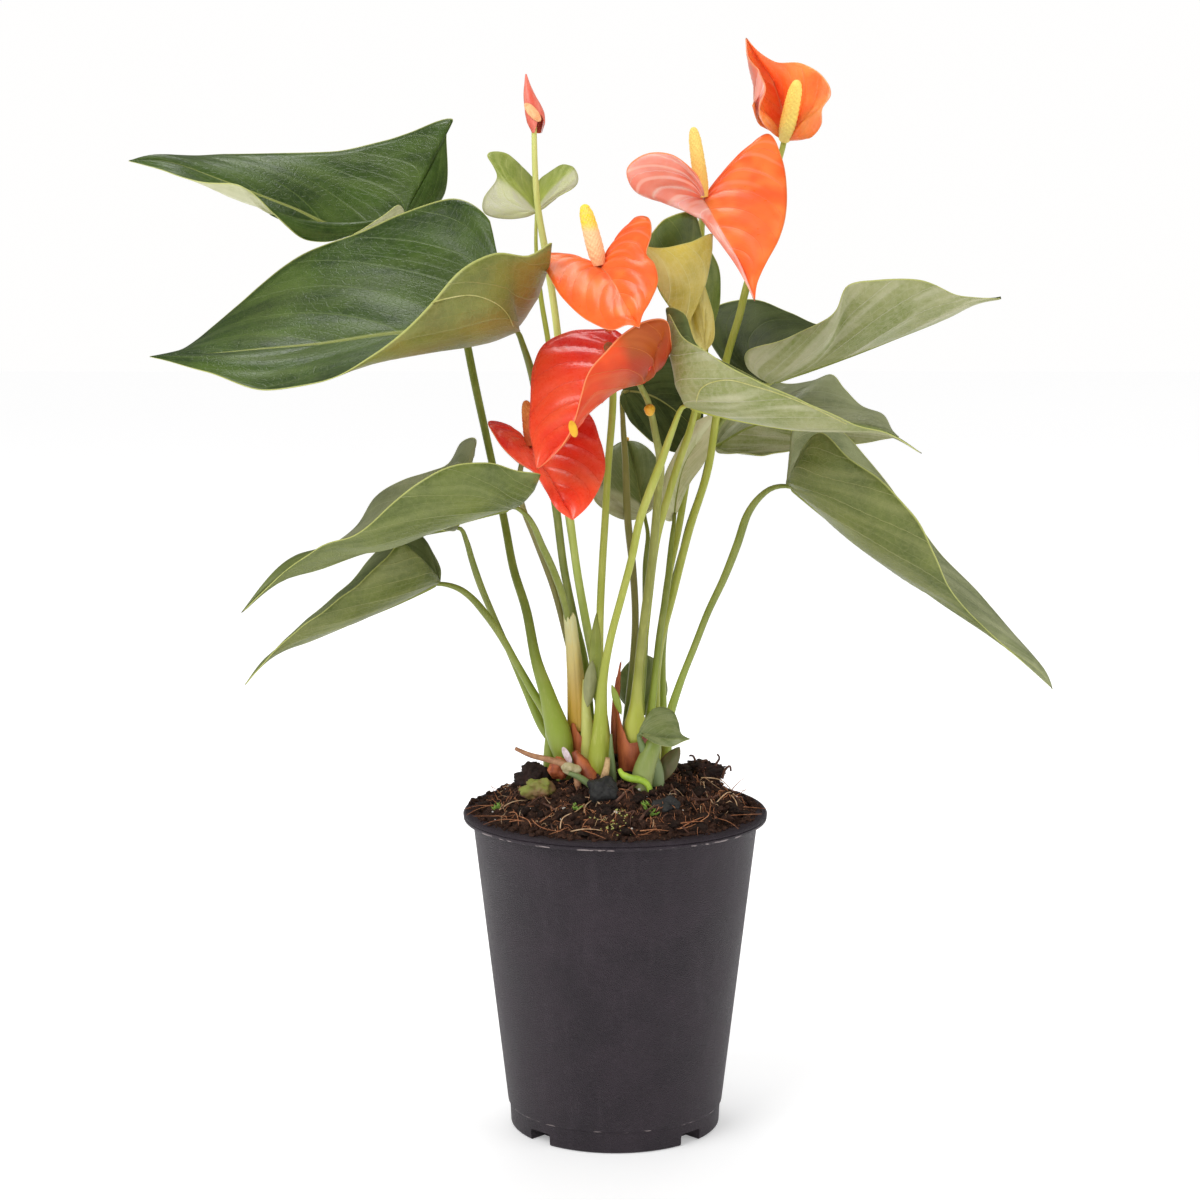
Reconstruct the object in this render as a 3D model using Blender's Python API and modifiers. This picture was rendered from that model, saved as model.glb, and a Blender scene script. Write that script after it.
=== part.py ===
"""A potted anthurium: a thin plastic pot filled with peat, sixteen leaves and six blooms on their stalks.

The pot stands on the table at the origin, x to the right, y away from the viewer and z up. Every point of
the plant is a real place in millimetres, in that frame.
"""

import math

import bmesh
import bpy
import numpy as np
from mathutils import Vector, noise

MM = 0.001

# Driving dimensions, in millimetres
RIM_DIAMETER = 120.0
POT_HEIGHT = 126.8
FOOT_DIAMETER = 83.2
WALL = 1.6
FLOOR = 2.4
LIP_HEIGHT = 3.3
LIP_OVERHANG = 3.8
STEP_HEIGHT = 9.0
STEP_DEPTH = 1.1
NOTCH_WIDTH = 10.5
NOTCH_HEIGHT = 4.6
SOIL_TOP = 143.5
SOIL_EDGE = 125.6
STEM_FOOT = 131.0
STEM_STRAIGHT = 147.0
CLEARANCE = 0.35
AXIS_GAP = 0.75
LEAF_THICKNESS = 0.7
SPATHE_THICKNESS = 0.8
SHEATH_THICKNESS = 0.9
SPADIX_SHAPE = (0.75, 1.0, 1.04, 1.0, 0.95, 0.85, 0.45)

# How finely the blades and the stems are cut into faces
BLADE_ROWS = 13
BLADE_COLUMNS = 3
STEM_RINGS = 12
LOBE_SHARE = 0.38
MOST_BULGE = 0.3
LEAST_FAN = math.radians(8)

LEAF_GREEN = (0.055, 0.125, 0.035, 1)
STEM_GREEN = (0.22, 0.32, 0.07, 1)
SPATHE_RED = (0.82, 0.045, 0.02, 1)
SPATHE_ORANGE = (0.88, 0.14, 0.04, 1)
SPADIX_YELLOW = (0.85, 0.66, 0.16, 1)
SPADIX_BROWN = (0.5, 0.16, 0.03, 1)
POT_GREY = (0.07, 0.058, 0.064, 1)
PEAT_BROWN = (0.05, 0.028, 0.018, 1)
STONE_GREY = (0.03, 0.03, 0.032, 1)
BARK_BROWN = (0.06, 0.035, 0.025, 1)
ROOT_TAN = (0.42, 0.25, 0.14, 1)
SHEATH_TAN = (0.55, 0.38, 0.14, 1)
SHEATH_BROWN = (0.36, 0.11, 0.04, 1)


def clear_scene():
    for item in list(bpy.data.objects):
        bpy.data.objects.remove(item)


def new_collection(name, parent):
    collection = bpy.data.collections.new(name)
    parent.children.link(collection)
    return collection


clear_scene()
part = new_collection("potted_anthurium", bpy.context.scene.collection)
cutters = new_collection("cutters", bpy.context.scene.collection)
cutters.hide_render = True
root = bpy.data.objects.new("plant_root", None)
part.objects.link(root)


def material(name, colour, roughness):
    found = bpy.data.materials.get(name)
    if found:
        return found
    made = bpy.data.materials.new(name)
    made.use_nodes = True
    shader = made.node_tree.nodes["Principled BSDF"]
    shader.inputs["Base Color"].default_value = colour
    shader.inputs["Roughness"].default_value = roughness
    shader.inputs["Metallic"].default_value = 0.0
    made.diffuse_color = colour
    return made


def add_part(name, mesh, colour, roughness):
    item = bpy.data.objects.new(name, mesh)
    part.objects.link(item)
    item.parent = root
    mesh.materials.clear()
    mesh.materials.append(material(name, colour, roughness))
    return item


def add_cutter(name, mesh):
    item = bpy.data.objects.new(name, mesh)
    cutters.objects.link(item)
    item.hide_render = True
    item.display_type = "WIRE"
    return item


def boolean(item, name, operation, tool, solver="EXACT"):
    """One Boolean of a cutter, or of a whole collection of them."""
    step = item.modifiers.new(name, "BOOLEAN")
    step.operation = operation
    step.solver = solver
    if isinstance(tool, bpy.types.Collection):
        step.operand_type = "COLLECTION"
        step.collection = tool
    else:
        step.object = tool
    return step


def mesh_of(bm, name):
    """The mesh of this bmesh, in metres, with coincident points made one and its faces turned outwards."""
    bmesh.ops.remove_doubles(bm, verts=bm.verts, dist=0.0005)
    bmesh.ops.scale(bm, vec=(MM, MM, MM), verts=bm.verts)
    mesh = bpy.data.meshes.new(name)
    bm.to_mesh(mesh)
    bm.free()
    return mesh


def through(points, shares):
    """The smooth curve through these points, read at shares of the length from the first to the last."""
    keys = np.asarray(points, float)
    chords = np.linalg.norm(np.diff(keys, axis=0), axis=1)
    at = np.concatenate([[0], np.cumsum(chords)]) / chords.sum()
    knots = np.concatenate([[0], np.cumsum(np.sqrt(chords))])
    gaps = np.diff(knots)
    slopes = np.diff(keys, axis=0) / gaps[:, None]
    tangents = np.zeros_like(keys)
    if len(keys) == 2:
        tangents[:] = slopes[0]
    else:
        before, after = gaps[:-1, None], gaps[1:, None]
        tangents[1:-1] = (slopes[:-1] * after + slopes[1:] * before) / (before + after)
        tangents[0] = 1.5 * slopes[0] - 0.5 * tangents[1]
        tangents[-1] = 1.5 * slopes[-1] - 0.5 * tangents[-2]
    found = []
    for share in np.atleast_1d(shares):
        i = min(max(int(np.searchsorted(at, share, side="right")) - 1, 0), len(keys) - 2)
        t = (share - at[i]) / (at[i + 1] - at[i])
        found.append(
            (2 * t**3 - 3 * t**2 + 1) * keys[i]
            + (t**3 - 2 * t**2 + t) * gaps[i] * tangents[i]
            + (3 * t**2 - 2 * t**3) * keys[i + 1]
            + (t**3 - t**2) * gaps[i] * tangents[i + 1]
        )
    return np.array(found)


def half_blade(ribs, rows, join, margin, tip, side):
    """Rows of points from the midrib to one margin. A margin key's fourth number is how far the row bulges
    towards the upper face, in millimetres."""
    outline = [join, *[key[:3] for key in margin], tip]
    edge = through(outline, rows)
    chords = np.linalg.norm(np.diff(np.asarray(outline, float), axis=0), axis=1)
    at = np.concatenate([[0], np.cumsum(chords)]) / chords.sum()
    bulge = np.interp(rows, at, [0, *[key[3] if len(key) > 3 else 1.5 for key in margin], 0])
    along = np.gradient(edge, axis=0)
    across = edge - ribs
    reach = np.linalg.norm(across, axis=1)
    bulge = np.clip(bulge, -MOST_BULGE * reach, MOST_BULGE * reach)
    up = np.cross(across * side, along)
    height = np.linalg.norm(up, axis=1) + 1e-9
    slant = height / (reach * np.linalg.norm(along, axis=1) + 1e-9)
    up *= (np.minimum(2 * slant, 1) / height)[:, None]
    shares = np.linspace(0, 1, BLADE_COLUMNS + 1)
    arch = 4 * shares * (1 - shares)
    return (
        ribs[:, None]
        + across[:, None] * shares[None, :, None]
        + up[:, None] * (bulge[:, None] * arch[None, :])[:, :, None]
    )


def first_row(grid):
    """The row that a half starts with. The rows before it lie along one another, where a lobe's inner edge
    runs straight out from the join."""
    lines = grid[:, -1] - grid[:, 0]
    for i in range(1, BLADE_ROWS - 1):
        if Vector(lines[i]).angle(Vector(lines[i + 1])) > LEAST_FAN:
            return i
    return 1


def blade_mesh(name, join, rib, tip, left, right, lobes=LOBE_SHARE):
    """An open sheet: two halves that share the midrib, each a loft from the midrib to its margin. The rows
    of the lobes all start at the join, and the others further and further along the midrib."""
    rows = np.linspace(0, 1, BLADE_ROWS + 1)
    shares = np.clip((rows - lobes) / (1 - lobes), 0, 1) ** 1.25
    ribs = through([join, *rib, tip], shares)
    bm = bmesh.new()
    met = {}

    def corner(point):
        key = tuple(round(float(number), 3) for number in point)
        if key not in met:
            met[key] = bm.verts.new(point)
        return met[key]

    for margin, side in ((left, -1), (right, 1)):
        grid = half_blade(ribs, rows, join, margin, tip, side)
        for i in range(first_row(grid), BLADE_ROWS):
            for j in range(BLADE_COLUMNS):
                a, b = corner(grid[i, j]), corner(grid[i + 1, j])
                c, d = corner(grid[i + 1, j + 1]), corner(grid[i, j + 1])
                for face in ((a, b, c), (a, c, d)):
                    if len(set(face)) == 3:
                        bm.faces.new(face if side < 0 else face[::-1])
    return mesh_of(bm, name)


def stem_mesh(name, points, radii, rings=STEM_RINGS, sides=1):
    """A round stem as a curve with a bevel, its radius read along the keys, turned into a mesh."""
    shares = np.linspace(0, 1, rings)
    centres = through(points, shares)
    widths = np.interp(shares, np.linspace(0, 1, len(radii)), radii)
    curve = bpy.data.curves.new(name, "CURVE")
    curve.dimensions = "3D"
    curve.bevel_depth = MM
    curve.bevel_resolution = sides
    curve.use_fill_caps = True
    spline = curve.splines.new("POLY")
    spline.points.add(rings - 1)
    for knot, centre, width in zip(spline.points, centres, widths):
        knot.co = (*(centre * MM), 1)
        knot.radius = width
    holder = bpy.data.objects.new(name, curve)
    bpy.context.scene.collection.objects.link(holder)
    graph = bpy.context.evaluated_depsgraph_get()
    mesh = bpy.data.meshes.new_from_object(holder.evaluated_get(graph))
    bpy.data.objects.remove(holder)
    bpy.data.curves.remove(curve)
    bm = bmesh.new()
    bm.from_mesh(mesh)
    bmesh.ops.remove_doubles(bm, verts=bm.verts, dist=1e-6)
    bmesh.ops.recalc_face_normals(bm, faces=bm.faces)
    bmesh.ops.triangulate(bm, faces=bm.faces)
    bm.to_mesh(mesh)
    bm.free()
    mesh.name = name
    return mesh


def towards(start, end, distance):
    """The point this far from start on the way to end."""
    a, b = np.asarray(start, float), np.asarray(end, float)
    return a + (b - a) * distance / np.linalg.norm(b - a)


stem_feet = []


def down_to_soil(keys, base, radii, straight=STEM_STRAIGHT):
    """The route of a stem from the top to its foot, which stands upright in its own hole in the soil."""
    x, y = base
    stem_feet.append((x, y, max(radii[-2:])))
    return [*keys, (x, y, straight), (x, y, STEM_FOOT)]


def leaf(name, join, rib, tip, left, right, petiole, radii, base, lobes=LOBE_SHARE):
    """A blade with its petiole grown into the underside of the join. The thin folded sheets need the
    MANIFOLD solver: EXACT leaves nothing of some of them."""
    sheet = add_part(name, blade_mesh(name, join, rib, tip, left, right, lobes), LEAF_GREEN, 0.35)
    thicken(sheet, LEAF_THICKNESS)
    inside = towards(join, rib[0], 2.5)
    route = down_to_soil([inside, *petiole], base, radii)
    stalk = add_cutter(name + "_petiole", stem_mesh(name + "_petiole", route, [radii[0] * 0.6, *radii]))
    boolean(sheet, "petiole", "UNION", stalk, "MANIFOLD")
    return sheet


def thicken(sheet, thickness):
    solid = sheet.modifiers.new("thickness", "SOLIDIFY")
    solid.thickness = thickness * MM
    solid.offset = 0
    solid.use_even_offset = False


def bloom(name, join, rib, tip, left, right, stalk, radii, base, spadix, girth, colours):
    """A stalk, the spathe that clasps its end and the spadix that stands on it, each its own piece."""
    neck = towards(join, stalk[0], AXIS_GAP)
    route = down_to_soil([neck, *stalk], base, radii)
    narrowed = [radii[0] * 0.8, *radii]
    add_part(name + "_stalk", stem_mesh(name + "_stalk", route, narrowed), STEM_GREEN, 0.45)
    sheet = add_part(
        name + "_spathe", blade_mesh(name + "_spathe", join, rib, tip, left, right), colours[0], 0.25
    )
    thicken(sheet, SPATHE_THICKNESS)
    foot = towards(join, spadix, AXIS_GAP)
    add_part(
        name + "_spadix",
        stem_mesh(name + "_spadix", [foot, spadix], [girth * share for share in SPADIX_SHAPE], 8),
        colours[1],
        0.6,
    )
    grip = [towards(join, stalk[0], 6.0), towards(join, stalk[0], 0.5), towards(join, spadix, 8.0)]
    room = max(radii[0], girth) + CLEARANCE
    gripped = add_cutter(name + "_room", stem_mesh(name + "_room", grip, [room], 7, 2))
    boolean(sheet, "clearance", "DIFFERENCE", gripped, "MANIFOLD")
    return sheet



def revolve(name, profile, steps=48):
    """A closed profile of (radius, height) turned about the upright axis with a Screw."""
    bm = bmesh.new()
    ring = [bm.verts.new((radius * MM, 0, height * MM)) for radius, height in profile]
    for first, second in zip(ring, ring[1:]):
        bm.edges.new((first, second))
    mesh = bpy.data.meshes.new(name)
    bm.to_mesh(mesh)
    bm.free()
    holder = bpy.data.objects.new(name, mesh)
    bpy.context.scene.collection.objects.link(holder)
    turn = holder.modifiers.new("turn", "SCREW")
    turn.steps = steps
    turn.render_steps = steps
    turn.use_merge_vertices = True
    turn.merge_threshold = 0.0001
    graph = bpy.context.evaluated_depsgraph_get()
    turned = bpy.data.meshes.new_from_object(holder.evaluated_get(graph))
    bpy.data.objects.remove(holder)
    bm = bmesh.new()
    bm.from_mesh(turned)
    bmesh.ops.remove_doubles(bm, verts=bm.verts, dist=1e-6)
    bmesh.ops.recalc_face_normals(bm, faces=bm.faces)
    bmesh.ops.triangulate(bm, faces=bm.faces)
    bm.to_mesh(turned)
    bm.free()
    turned.name = name
    return turned


# The pot: one moulding of thin plastic. A wall that widens upwards, a turned-out lip, a small step near the
# foot, and four notches in the foot so that water runs off. The floor is raised, and a flat boss in its
# middle reaches down to the table.
rim_radius = RIM_DIAMETER / 2
wall_top_radius = rim_radius - LIP_OVERHANG
foot_radius = FOOT_DIAMETER / 2
wall_foot_radius = foot_radius + STEP_DEPTH
lip_under = POT_HEIGHT - LIP_HEIGHT
foot_recess = 3.0
boss_radius = 8.0


def wall_radius(height):
    """The outer radius of the wall at this height above the step."""
    share = (height - STEP_HEIGHT) / (lip_under - STEP_HEIGHT)
    return wall_foot_radius + (wall_top_radius - wall_foot_radius) * share


pot_profile = [
    (0, 0),
    (boss_radius, 0),
    (boss_radius + 0.8, foot_recess),
    (foot_radius - 9.5, foot_recess),
    (foot_radius - 8.0, 0),
    (foot_radius - 0.6, 0),
    (foot_radius, 0.6),
    (foot_radius + 0.4, STEP_HEIGHT - 0.7),
    (wall_radius(STEP_HEIGHT), STEP_HEIGHT),
    (wall_radius(60), 60),
    (wall_top_radius, lip_under),
    (rim_radius - 0.4, lip_under),
    (rim_radius, lip_under + 0.5),
    (rim_radius, POT_HEIGHT - 0.8),
    (rim_radius - 0.8, POT_HEIGHT),
    (wall_top_radius - WALL + 0.6, POT_HEIGHT),
    (wall_top_radius - WALL, POT_HEIGHT - 0.8),
    (wall_radius(60) - WALL, 60),
    (wall_foot_radius - WALL, STEP_HEIGHT),
    (wall_foot_radius - WALL - 1.0, foot_recess + FLOOR),
    (0, foot_recess + FLOOR),
]
pot = add_part("pot", revolve("pot", pot_profile, 48), POT_GREY, 0.5)
for turn in range(4):
    bm = bmesh.new()
    bmesh.ops.create_cube(bm, size=1)
    bmesh.ops.scale(bm, vec=(12, NOTCH_WIDTH, 2 * NOTCH_HEIGHT), verts=bm.verts)
    bmesh.ops.translate(bm, vec=(foot_radius - 1.5, 0, 0), verts=bm.verts)
    notch = add_cutter(f"notch_{turn + 1}", mesh_of(bm, f"notch_{turn + 1}"))
    notch.rotation_euler = (0, 0, math.radians(45 + 90 * turn))
    boolean(pot, f"notch_{turn + 1}", "DIFFERENCE", notch)

# The peat: a plug that fills the pot to just under the lip and rises in a low mound round the crown. Every
# stem stands in a plain hole in it.
soil_gap = CLEARANCE
soil_profile = [
    (0, foot_recess + FLOOR + soil_gap),
    (wall_foot_radius - WALL - 2.0 - soil_gap, foot_recess + FLOOR + soil_gap),
    (wall_foot_radius - WALL - soil_gap, STEP_HEIGHT + 1.0),
    (wall_radius(60) - WALL - soil_gap - 0.1, 60),
    (wall_top_radius - WALL - soil_gap - 0.4, SOIL_EDGE - 1.0),
    (wall_top_radius - WALL - soil_gap - 1.2, SOIL_EDGE),
    (50, SOIL_EDGE + 2.6),
    (44, SOIL_EDGE + 4.8),
    (37, SOIL_EDGE + 7.6),
    (30, SOIL_TOP - 7.2),
    (23, SOIL_TOP - 3.6),
    (14, SOIL_TOP - 0.6),
    (0, SOIL_TOP),
]
soil_mesh = revolve("soil", soil_profile, 38)
for vertex in soil_mesh.vertices:
    place = vertex.co / MM
    reach = math.hypot(place.x, place.y)
    if place.z > SOIL_EDGE + 1 and reach > 1:
        lift = noise.noise(Vector((place.x, place.y, 4.0)) * 0.11) * 2.4
        vertex.co.z += lift * min(1, (wall_top_radius - reach) / 12) * MM
soil = add_part("soil", soil_mesh, PEAT_BROWN, 0.95)

# Large leaf at the upper left, behind the big one: its near margin curls up and shows the pale underside.
leaf(
    "leaf_back_left",
    join=(-85, 58, 359),
    rib=[(-107, 55, 353), (-130, 50, 362), (-158, 46, 373), (-179, 42, 380)],
    tip=(-193, 40, 380),
    left=[
        (-87, 54, 363, 0), (-94, 50, 358, 0), (-108, 46, 350, 0), (-123, 37, 349, -1),
        (-135, 28, 360, -5), (-146, 25, 370, -6), (-161, 29, 371, -3), (-178, 35, 376),
    ],
    right=[
        (-77, 64, 360), (-70, 72, 367), (-69, 84, 392), (-67, 88, 399), (-85, 88, 393), (-109, 84, 386),
        (-141, 74, 384), (-171, 58, 383), (-185, 46, 382),
    ],
    petiole=[
        (-85, 57, 358), (-75, 56, 349), (-64, 46, 329), (-60, 42, 311), (-56, 36, 292), (-51, 30, 270),
        (-44, 20, 239), (-40, 12, 220), (-35, 6, 205), (-31, 0, 186), (-26, -4, 171),
    ],
    radii=[1.9, 2.0, 2.1, 2.1, 2.0, 2.0, 2.1, 2.3, 2.6, 3.6, 4.6, 4.4],
    base=(-20, -6),
)

# The biggest leaf, spread to the left. Its far half lies open and glossy; the near lobe rolls up over it.
leaf(
    "leaf_big_left",
    join=(-38, -8, 316),
    rib=[(-59, -12, 315), (-82, -15, 314), (-112, -17, 310), (-135, -18, 308), (-158, -16, 306)],
    tip=(-177, -14, 305),
    left=[
        (-36, -18, 326, 0), (-28, -32, 343, -2), (-24, -40, 348, -3), (-32, -48, 343, -5),
        (-44, -56, 344, -10), (-55, -60, 339, -14), (-67, -62, 326, -13), (-78, -62, 316, -9),
        (-89, -60, 307, -5), (-104, -56, 299, 0), (-129, -46, 294), (-153, -32, 300), (-166, -22, 303),
    ],
    right=[
        (-41, 0, 332), (-43, 8, 345), (-52, 20, 360), (-64, 30, 365), (-85, 37, 359), (-107, 38, 350),
        (-125, 36, 343), (-140, 28, 331), (-156, 12, 316), (-167, -4, 307),
    ],
    petiole=[
        (-38, -8, 315), (-35, -9, 308), (-32, -8, 298), (-29, -5, 282), (-26, -2, 265), (-23, 1, 245),
        (-20, 4, 221), (-16, 6, 201), (-12, 8, 183),
    ],
    radii=[2.0, 2.3, 2.2, 2.1, 2.1, 2.1, 2.1, 2.2, 2.4, 2.8],
    base=(-10, 9),
)

# Small young leaf behind the bud's stalk, its two halves standing up like wings.
leaf(
    "leaf_small_back",
    join=(-31, 26, 360),
    rib=[(-32, 42, 362), (-32, 60, 367)],
    tip=(-32, 74, 372),
    left=[
        (-34, 24, 358), (-42, 24, 357), (-51, 26, 359), (-52, 34, 365), (-47, 44, 374), (-51, 50, 383),
        (-43, 60, 383), (-36, 70, 376),
    ],
    right=[
        (-28, 28, 362), (-22, 30, 366), (-15, 36, 371), (-16, 46, 377), (-21, 58, 379), (-27, 68, 376),
    ],
    petiole=[
        (-31, 25, 359), (-31, 22, 345), (-29, 18, 326), (-26, 14, 308), (-24, 11, 287), (-22, 11, 267),
        (-19, 12, 244), (-16, 12, 224), (-12, 12, 200), (-8, 12, 182),
    ],
    radii=[1.1, 1.4, 1.4, 1.5, 1.5, 1.6, 1.6, 1.7, 1.9, 2.2],
    base=(-3, 12),
)

# Lowest leaf on the left, folded along its midrib and hanging to a thin drip tip.
leaf(
    "leaf_low_left",
    join=(-68, -8, 218),
    rib=[(-83, -13, 211), (-98, -18, 205), (-116, -26, 198), (-131, -36, 193)],
    tip=(-139, -44, 184),
    left=[
        (-71, -14, 223, -1), (-77, -22, 230, -2), (-81, -30, 236, -3), (-87, -34, 230, -5),
        (-96, -36, 222, -5), (-111, -38, 210, -4), (-124, -40, 200, -1),
    ],
    right=[
        (-68, -2, 222), (-72, 8, 228), (-78, 18, 234), (-87, 26, 234), (-95, 24, 226), (-105, 14, 215),
        (-116, -2, 206), (-128, -24, 196),
    ],
    petiole=[
        (-67, -7, 217), (-61, -5, 215), (-56, -3, 211), (-51, -2, 205), (-45, 0, 196), (-39, 1, 185),
        (-33, 2, 174), (-26, 2, 161),
    ],
    radii=[1.6, 1.9, 1.9, 1.8, 1.8, 1.9, 2.1, 2.5, 2.8],
    base=(-26, 2),
)

# Long folded leaf at the front left, its underside to the viewer.
leaf(
    "leaf_front_left",
    join=(-38, -38, 250),
    rib=[
        (-51, -42, 247), (-65, -45, 243), (-80, -48, 238), (-95, -51, 234), (-109, -54, 229),
        (-123, -58, 225),
    ],
    tip=(-137, -64, 214),
    left=[
        (-37, -42, 254, 0), (-34, -48, 260, -1), (-28, -54, 264, -2), (-37, -62, 266, -4),
        (-47, -68, 269, -6), (-58, -72, 269, -7), (-69, -74, 264, -7), (-82, -72, 254, -6),
        (-95, -69, 243, -4), (-108, -66, 238, -2), (-121, -62, 229, 0),
    ],
    right=[
        (-40, -30, 253), (-42, -20, 257), (-48, -10, 258), (-60, -4, 257), (-72, -6, 253),
        (-85, -14, 246), (-97, -26, 239), (-109, -38, 235), (-119, -48, 233), (-125, -55, 229),
    ],
    petiole=[
        (-38, -37, 250), (-34, -34, 247), (-31, -30, 242), (-28, -25, 234), (-24, -18, 224),
        (-20, -10, 211), (-17, -5, 195), (-15, -1, 178),
    ],
    radii=[1.5, 1.9, 1.9, 1.7, 1.7, 1.8, 2.1, 2.5, 2.8],
    base=(-14, 1),
)

# Leaf behind the front left one: only its far half and a lobe stand clear of it.
leaf(
    "leaf_mid_left",
    join=(-61, -4, 239),
    rib=[(-72, -6, 237), (-87, -10, 234), (-106, -16, 231), (-118, -22, 228)],
    tip=(-129, -26, 225),
    left=[
        (-62, -10, 238), (-65, -18, 239), (-71, -22, 240), (-82, -26, 239), (-97, -28, 234),
        (-112, -28, 229),
    ],
    right=[
        (-60, 6, 246), (-57, 14, 261), (-55, 22, 271), (-61, 28, 269), (-67, 31, 260), (-74, 32, 257),
        (-85, 33, 254), (-96, 30, 247), (-103, 18, 236), (-113, 2, 230), (-123, -14, 227),
    ],
    petiole=[
        (-60, -3, 238), (-58, 0, 233), (-56, 3, 225), (-53, 6, 215), (-48, 9, 202), (-42, 10, 188),
        (-36, 10, 174), (-29, 10, 158),
    ],
    radii=[1.5, 1.8, 1.7, 1.6, 1.7, 1.8, 2.0, 2.3, 2.6],
    base=(-22, 9),
)

# Yellow-green leaf that stands upright behind the middle bloom, curled on itself.
leaf(
    "leaf_upright",
    join=(34, -12, 307),
    rib=[(28, -18, 312), (21, -24, 323), (16, -28, 331), (13, -31, 340)],
    tip=(9, -34, 347),
    left=[
        (37, -14, 311, 0), (37, -17, 320, -1), (34, -20, 330, -3), (31, -22, 341, -4),
        (36, -22, 351, -4), (27, -28, 348, -3), (17, -32, 346, -1),
    ],
    right=[
        (36, -6, 313, 0), (40, -3, 326, -1), (39, -5, 339, -2), (33, -9, 350, -3), (29, -14, 359, -3),
        (19, -20, 357, -2), (13, -29, 351, -1),
    ],
    petiole=[
        (34, -11, 306), (33, -8, 297), (29, -6, 278), (25, -5, 266), (21, -4, 253), (16, -2, 234),
        (13, 0, 210), (11, 1, 190),
    ],
    radii=[1.5, 1.9, 1.9, 1.9, 1.9, 1.9, 2.0, 2.2, 2.6],
    base=(7, 3),
)

# Leaf in front on the right, folded into a trough that points to the right.
leaf(
    "leaf_front_right",
    join=(26, -42, 288),
    rib=[(38, -46, 285), (53, -48, 282), (67, -50, 280), (86, -52, 280), (100, -56, 278)],
    tip=(111, -60, 272),
    left=[
        (25, -34, 294), (23, -28, 310), (19, -34, 324), (25, -36, 322), (30, -34, 310), (42, -32, 303),
        (61, -32, 293), (83, -40, 283), (100, -53, 278),
    ],
    right=[
        (24, -44, 295, 0), (22, -45, 308, -1), (19, -47, 322, -2), (24, -56, 314, -4),
        (32, -64, 309, -6), (46, -70, 301, -6), (66, -70, 292, -4), (84, -66, 284, -2),
        (99, -61, 279, 0),
    ],
    petiole=[
        (25, -41, 288), (21, -38, 279), (17, -34, 267), (13, -31, 256), (9, -28, 244), (6, -25, 229),
        (2, -21, 213), (-2, -17, 197), (-5, -14, 179),
    ],
    radii=[1.6, 2.2, 2.1, 1.9, 1.9, 1.9, 2.0, 2.3, 3.0, 4.3, 4.0],
    base=(-6, -13),
)

# Large leaf at the right: the near half is seen from below, the dark far half behind it.
leaf(
    "leaf_far_right",
    join=(60, 8, 294),
    rib=[(75, 5, 299), (94, 2, 306), (109, 0, 312), (126, -3, 319), (137, -5, 325)],
    tip=(147, -6, 327),
    left=[
        (51, 16, 295), (43, 32, 301), (37, 46, 313), (41, 54, 322), (55, 57, 325), (71, 52, 320),
        (83, 46, 315), (95, 38, 321), (108, 28, 329), (123, 16, 330), (136, 2, 326),
    ],
    right=[
        (56, 4, 296, 0), (51, 0, 300, -1), (50, -6, 306, -3), (61, -12, 311, -5), (75, -18, 317, -6),
        (83, -22, 323, -7), (87, -24, 332, -7), (97, -25, 334, -6), (114, -23, 334, -4),
        (131, -14, 328, -2),
    ],
    petiole=[
        (59, 9, 293), (53, 12, 288), (45, 15, 282), (40, 18, 276), (38, 20, 267), (35, 22, 253),
        (29, 22, 235), (25, 21, 217), (21, 20, 202), (19, 18, 189),
    ],
    radii=[1.6, 1.9, 1.9, 1.8, 1.8, 1.8, 1.8, 1.9, 2.0, 2.1, 2.4],
    base=(19, 13),
)

# Leaf on the right under the front one.
leaf(
    "leaf_mid_right",
    join=(40, 31, 267),
    rib=[(56, 31, 272), (76, 29, 274), (97, 25, 274)],
    tip=(112, 20, 272),
    left=[
        (37, 37, 273), (39, 47, 284), (47, 54, 293), (57, 58, 294), (70, 58, 291), (80, 56, 292),
        (88, 54, 295), (93, 48, 289), (99, 42, 283), (107, 34, 280), (110, 25, 274),
    ],
    right=[
        (41, 29, 265), (50, 25, 265, -2), (61, 22, 265, -2), (73, 21, 267, -2), (87, 20, 268, -2),
        (101, 20, 270),
    ],
    petiole=[
        (39, 31, 267), (37, 30, 258), (34, 30, 246), (29, 30, 232), (25, 29, 218), (21, 27, 204),
        (18, 24, 188),
    ],
    radii=[1.4, 1.6, 1.7, 1.7, 1.7, 1.8, 1.9, 2.2],
    base=(14, 21),
)

# Narrow young leaf that stands nearly upright among the stems.
leaf(
    "leaf_narrow",
    join=(23, 9, 240),
    rib=[(24, 10, 250), (27, 11, 262), (34, 12, 273)],
    tip=(41, 13, 282),
    left=[(20, 10, 240), (18, 11, 246), (19, 12, 256), (24, 13, 267), (31, 13, 278)],
    right=[(25, 10, 245, 0), (29, 10, 254, 0), (35, 10, 263, 0), (39, 12, 274, 0)],
    petiole=[(23, 7, 240), (22, 4, 233), (20, 0, 214), (17, -2, 194), (15, -4, 175)],
    radii=[1.5, 1.8, 1.8, 1.8, 2.0, 2.4],
    base=(12, -4),
    lobes=0.1,
)

# Dark leaf in the middle of the plant, behind the stems.
leaf(
    "leaf_centre",
    join=(3, 24, 290),
    rib=[(14, 27, 288), (26, 30, 280)],
    tip=(34, 31, 271),
    left=[(5, 28, 295), (12, 33, 301), (21, 37, 303), (30, 37, 297), (35, 35, 285)],
    right=[(2, 21, 286), (7, 19, 277), (16, 22, 269), (25, 26, 265), (31, 29, 266)],
    petiole=[
        (3, 23, 289), (3, 20, 279), (4, 18, 263), (5, 16, 239), (7, 15, 220), (8, 14, 200), (7, 12, 182),
    ],
    radii=[1.5, 1.9, 1.9, 1.8, 1.8, 1.9, 2.0, 2.3],
    base=(4, 11),
)

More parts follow.
